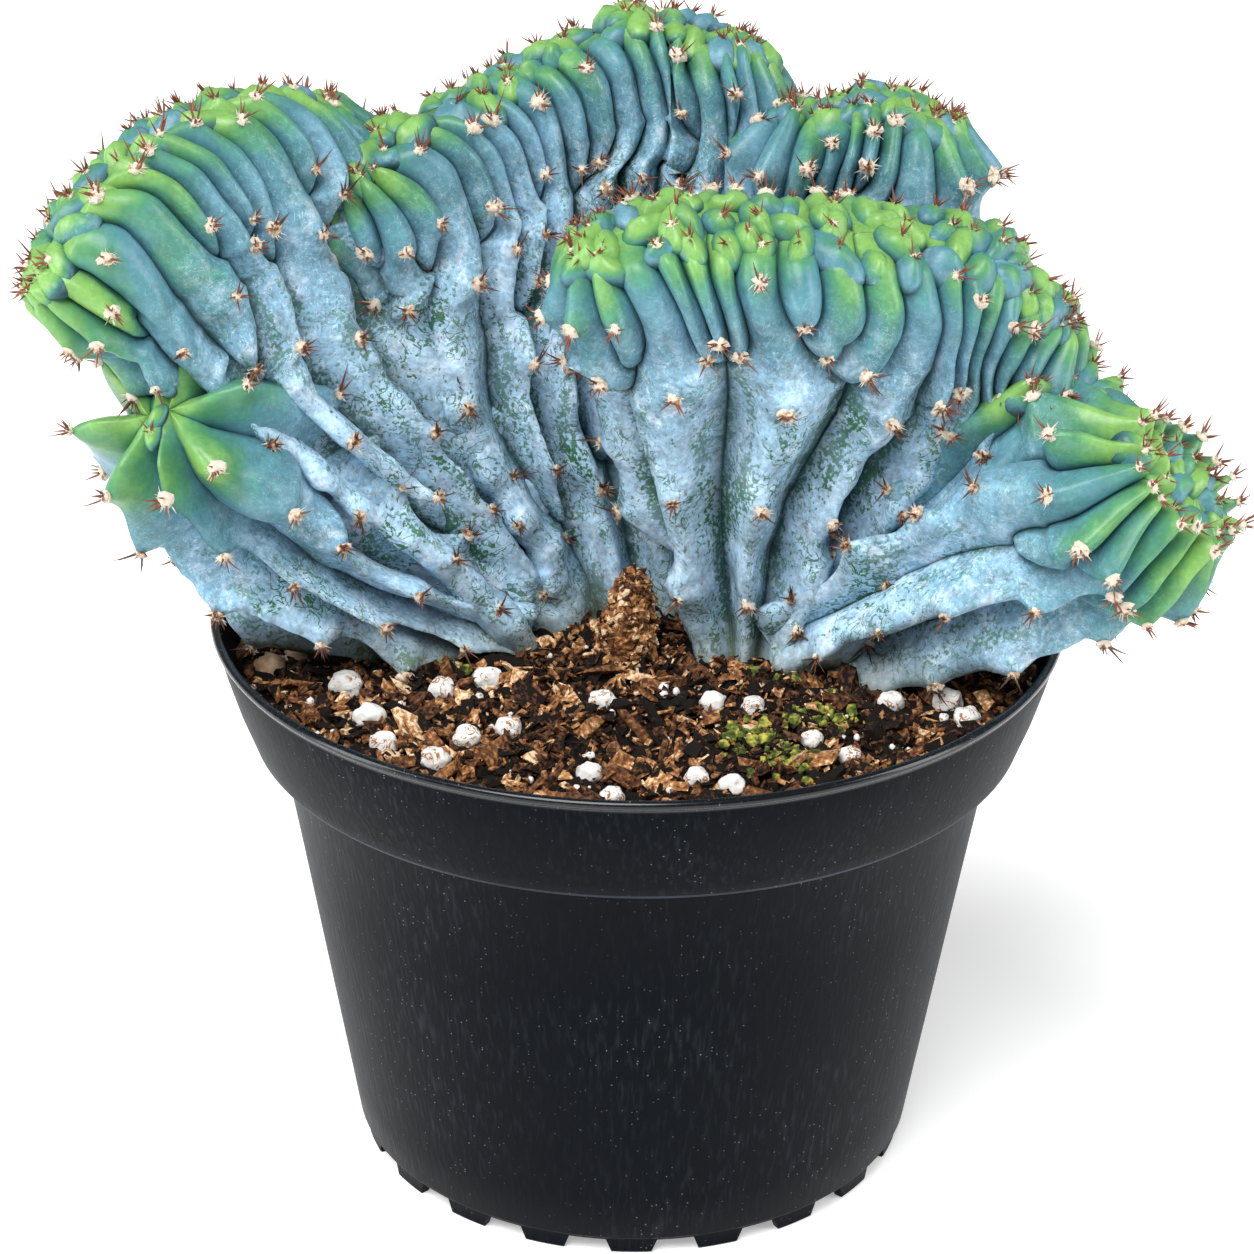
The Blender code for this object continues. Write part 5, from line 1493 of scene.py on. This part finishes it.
class CACTUS_OT_stage(bpy.types.Operator):
    """Set up the pale floor, the soft lights and the camera"""

    bl_idname = "cactus.stage"
    bl_label = "Floor, lights and camera"

    def execute(self, context):
        settings = context.scene.stage_settings
        scene = context.scene
        mat, tree, shader = new_material("pale_studio_floor", Roughness=0.9, Specular_IOR_Level=0.1,
                                         Emission_Color=(1, 1, 1, 1), Emission_Strength=0.35)
        place = add_node(tree, "ShaderNodeTexCoord").outputs["Object"]
        paper = add_node(tree, "ShaderNodeTexNoise", {"Vector": place, "Scale": 40.0})
        tone = add_node(tree, "ShaderNodeMapRange", {"Value": paper.outputs["Fac"], "To Min": 0.99,
                                                     "To Max": 1.01})
        colour = add_node(tree, "ShaderNodeHueSaturation", {"Value": tone.outputs[0],
                                                            "Color": (*settings.floor, 1)})
        tree.links.new(colour.outputs["Color"], shader.inputs["Base Color"])
        corners = np.array([[-1, -1, 0], [1, -1, 0], [1, 1, 0], [-1, 1, 0]]) * FLOOR_HALF
        floor = lay_mesh("floor", corners, np.array([[0, 1, 2, 3]]), mat)

        world = bpy.data.worlds.new("soft_fill")
        world.use_nodes = True
        background = world.node_tree.nodes["Background"]
        background.inputs["Color"].default_value = (1, 1, 1, 1)
        background.inputs["Strength"].default_value = settings.sky
        scene.world = world
        # The overhead light stands 30 degrees to the front and 15 to the left of upright.
        sun = bpy.data.lights.new("overhead", "SUN")
        sun.energy = settings.key
        sun.angle = math.radians(40)
        overhead = bpy.data.objects.new("overhead", sun)
        scene.collection.objects.link(overhead)
        overhead.matrix_world = Matrix.Rotation(math.radians(-15), 4, "Y") @ Matrix.Rotation(
            math.radians(30), 4, "X")
        for name, spot in LAMP_SPOTS.items():
            data = bpy.data.lights.new(name, "AREA")
            data.shape = "RECTANGLE"
            data.size, data.size_y = LAMP_SIZE
            data.energy = settings.side
            lamp = bpy.data.objects.new(name, data)
            scene.collection.objects.link(lamp)
            back = unit(np.array(spot) - LAMP_AIM)
            side = unit(np.cross([0, 0, 1], back))
            lamp.matrix_world = placed(side, np.cross(back, side), back, spot)

        back = np.array([0, -math.cos(TILT), math.sin(TILT)])
        up0 = np.array([0, math.sin(TILT), math.cos(TILT)])
        right = math.cos(ROLL) * np.array([1.0, 0, 0]) + math.sin(ROLL) * up0
        up = -math.sin(ROLL) * np.array([1.0, 0, 0]) + math.cos(ROLL) * up0
        spot = np.array(AIM) + back * AWAY
        data = bpy.data.cameras.new("photo_camera")
        data.sensor_width = SENSOR
        data.lens = LENS
        data.clip_start = 0.01
        camera = bpy.data.objects.new("photo_camera", data)
        scene.collection.objects.link(camera)
        camera.matrix_world = placed(right, up, back, spot)
        scene.camera = camera
        scene.view_settings.view_transform = "Standard"
        return {"FINISHED"}


class CACTUS_PT_panel(bpy.types.Panel):
    """Buttons and settings of the potted cactus"""

    bl_idname = "CACTUS_PT_panel"
    bl_label = "Potted cactus"
    bl_space_type = "VIEW_3D"
    bl_region_type = "UI"
    bl_category = "Cactus"

    def draw(self, context):
        for step, settings in STEPS:
            box = self.layout.box()
            box.operator(step.bl_idname)
            group = getattr(context.scene, settings)
            for key in group.__annotations__:
                box.prop(group, key)


SETTINGS = {"crest_settings": CrestSettings, "areole_settings": AreoleSettings,
            "mix_settings": MixSettings, "pot_settings": PotSettings, "stage_settings": StageSettings}
STEPS = [(CACTUS_OT_pot, "pot_settings"), (CACTUS_OT_mix, "mix_settings"),
         (CACTUS_OT_stones, "mix_settings"), (CACTUS_OT_stems, "crest_settings"),
         (CACTUS_OT_areoles, "areole_settings"), (CACTUS_OT_stage, "stage_settings")]


def register():
    """Register the classes and hang their settings on the scene."""
    for cls in (*SETTINGS.values(), *(step for step, _ in STEPS), CACTUS_PT_panel):
        bpy.utils.register_class(cls)
    for name, cls in SETTINGS.items():
        setattr(bpy.types.Scene, name, PointerProperty(type=cls))


def unregister():
    """Take the settings and the classes away again."""
    for name in SETTINGS:
        delattr(bpy.types.Scene, name)
    for cls in (CACTUS_PT_panel, *(step for step, _ in STEPS), *SETTINGS.values()):
        bpy.utils.unregister_class(cls)


def main():
    """Build every piece in order."""
    register()
    bpy.ops.cactus.pot()
    bpy.ops.cactus.mix()
    bpy.ops.cactus.stones()
    bpy.ops.cactus.stems()
    bpy.ops.cactus.areoles()
    bpy.ops.cactus.stage()
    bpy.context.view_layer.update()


if __name__ == "__main__":
    main()
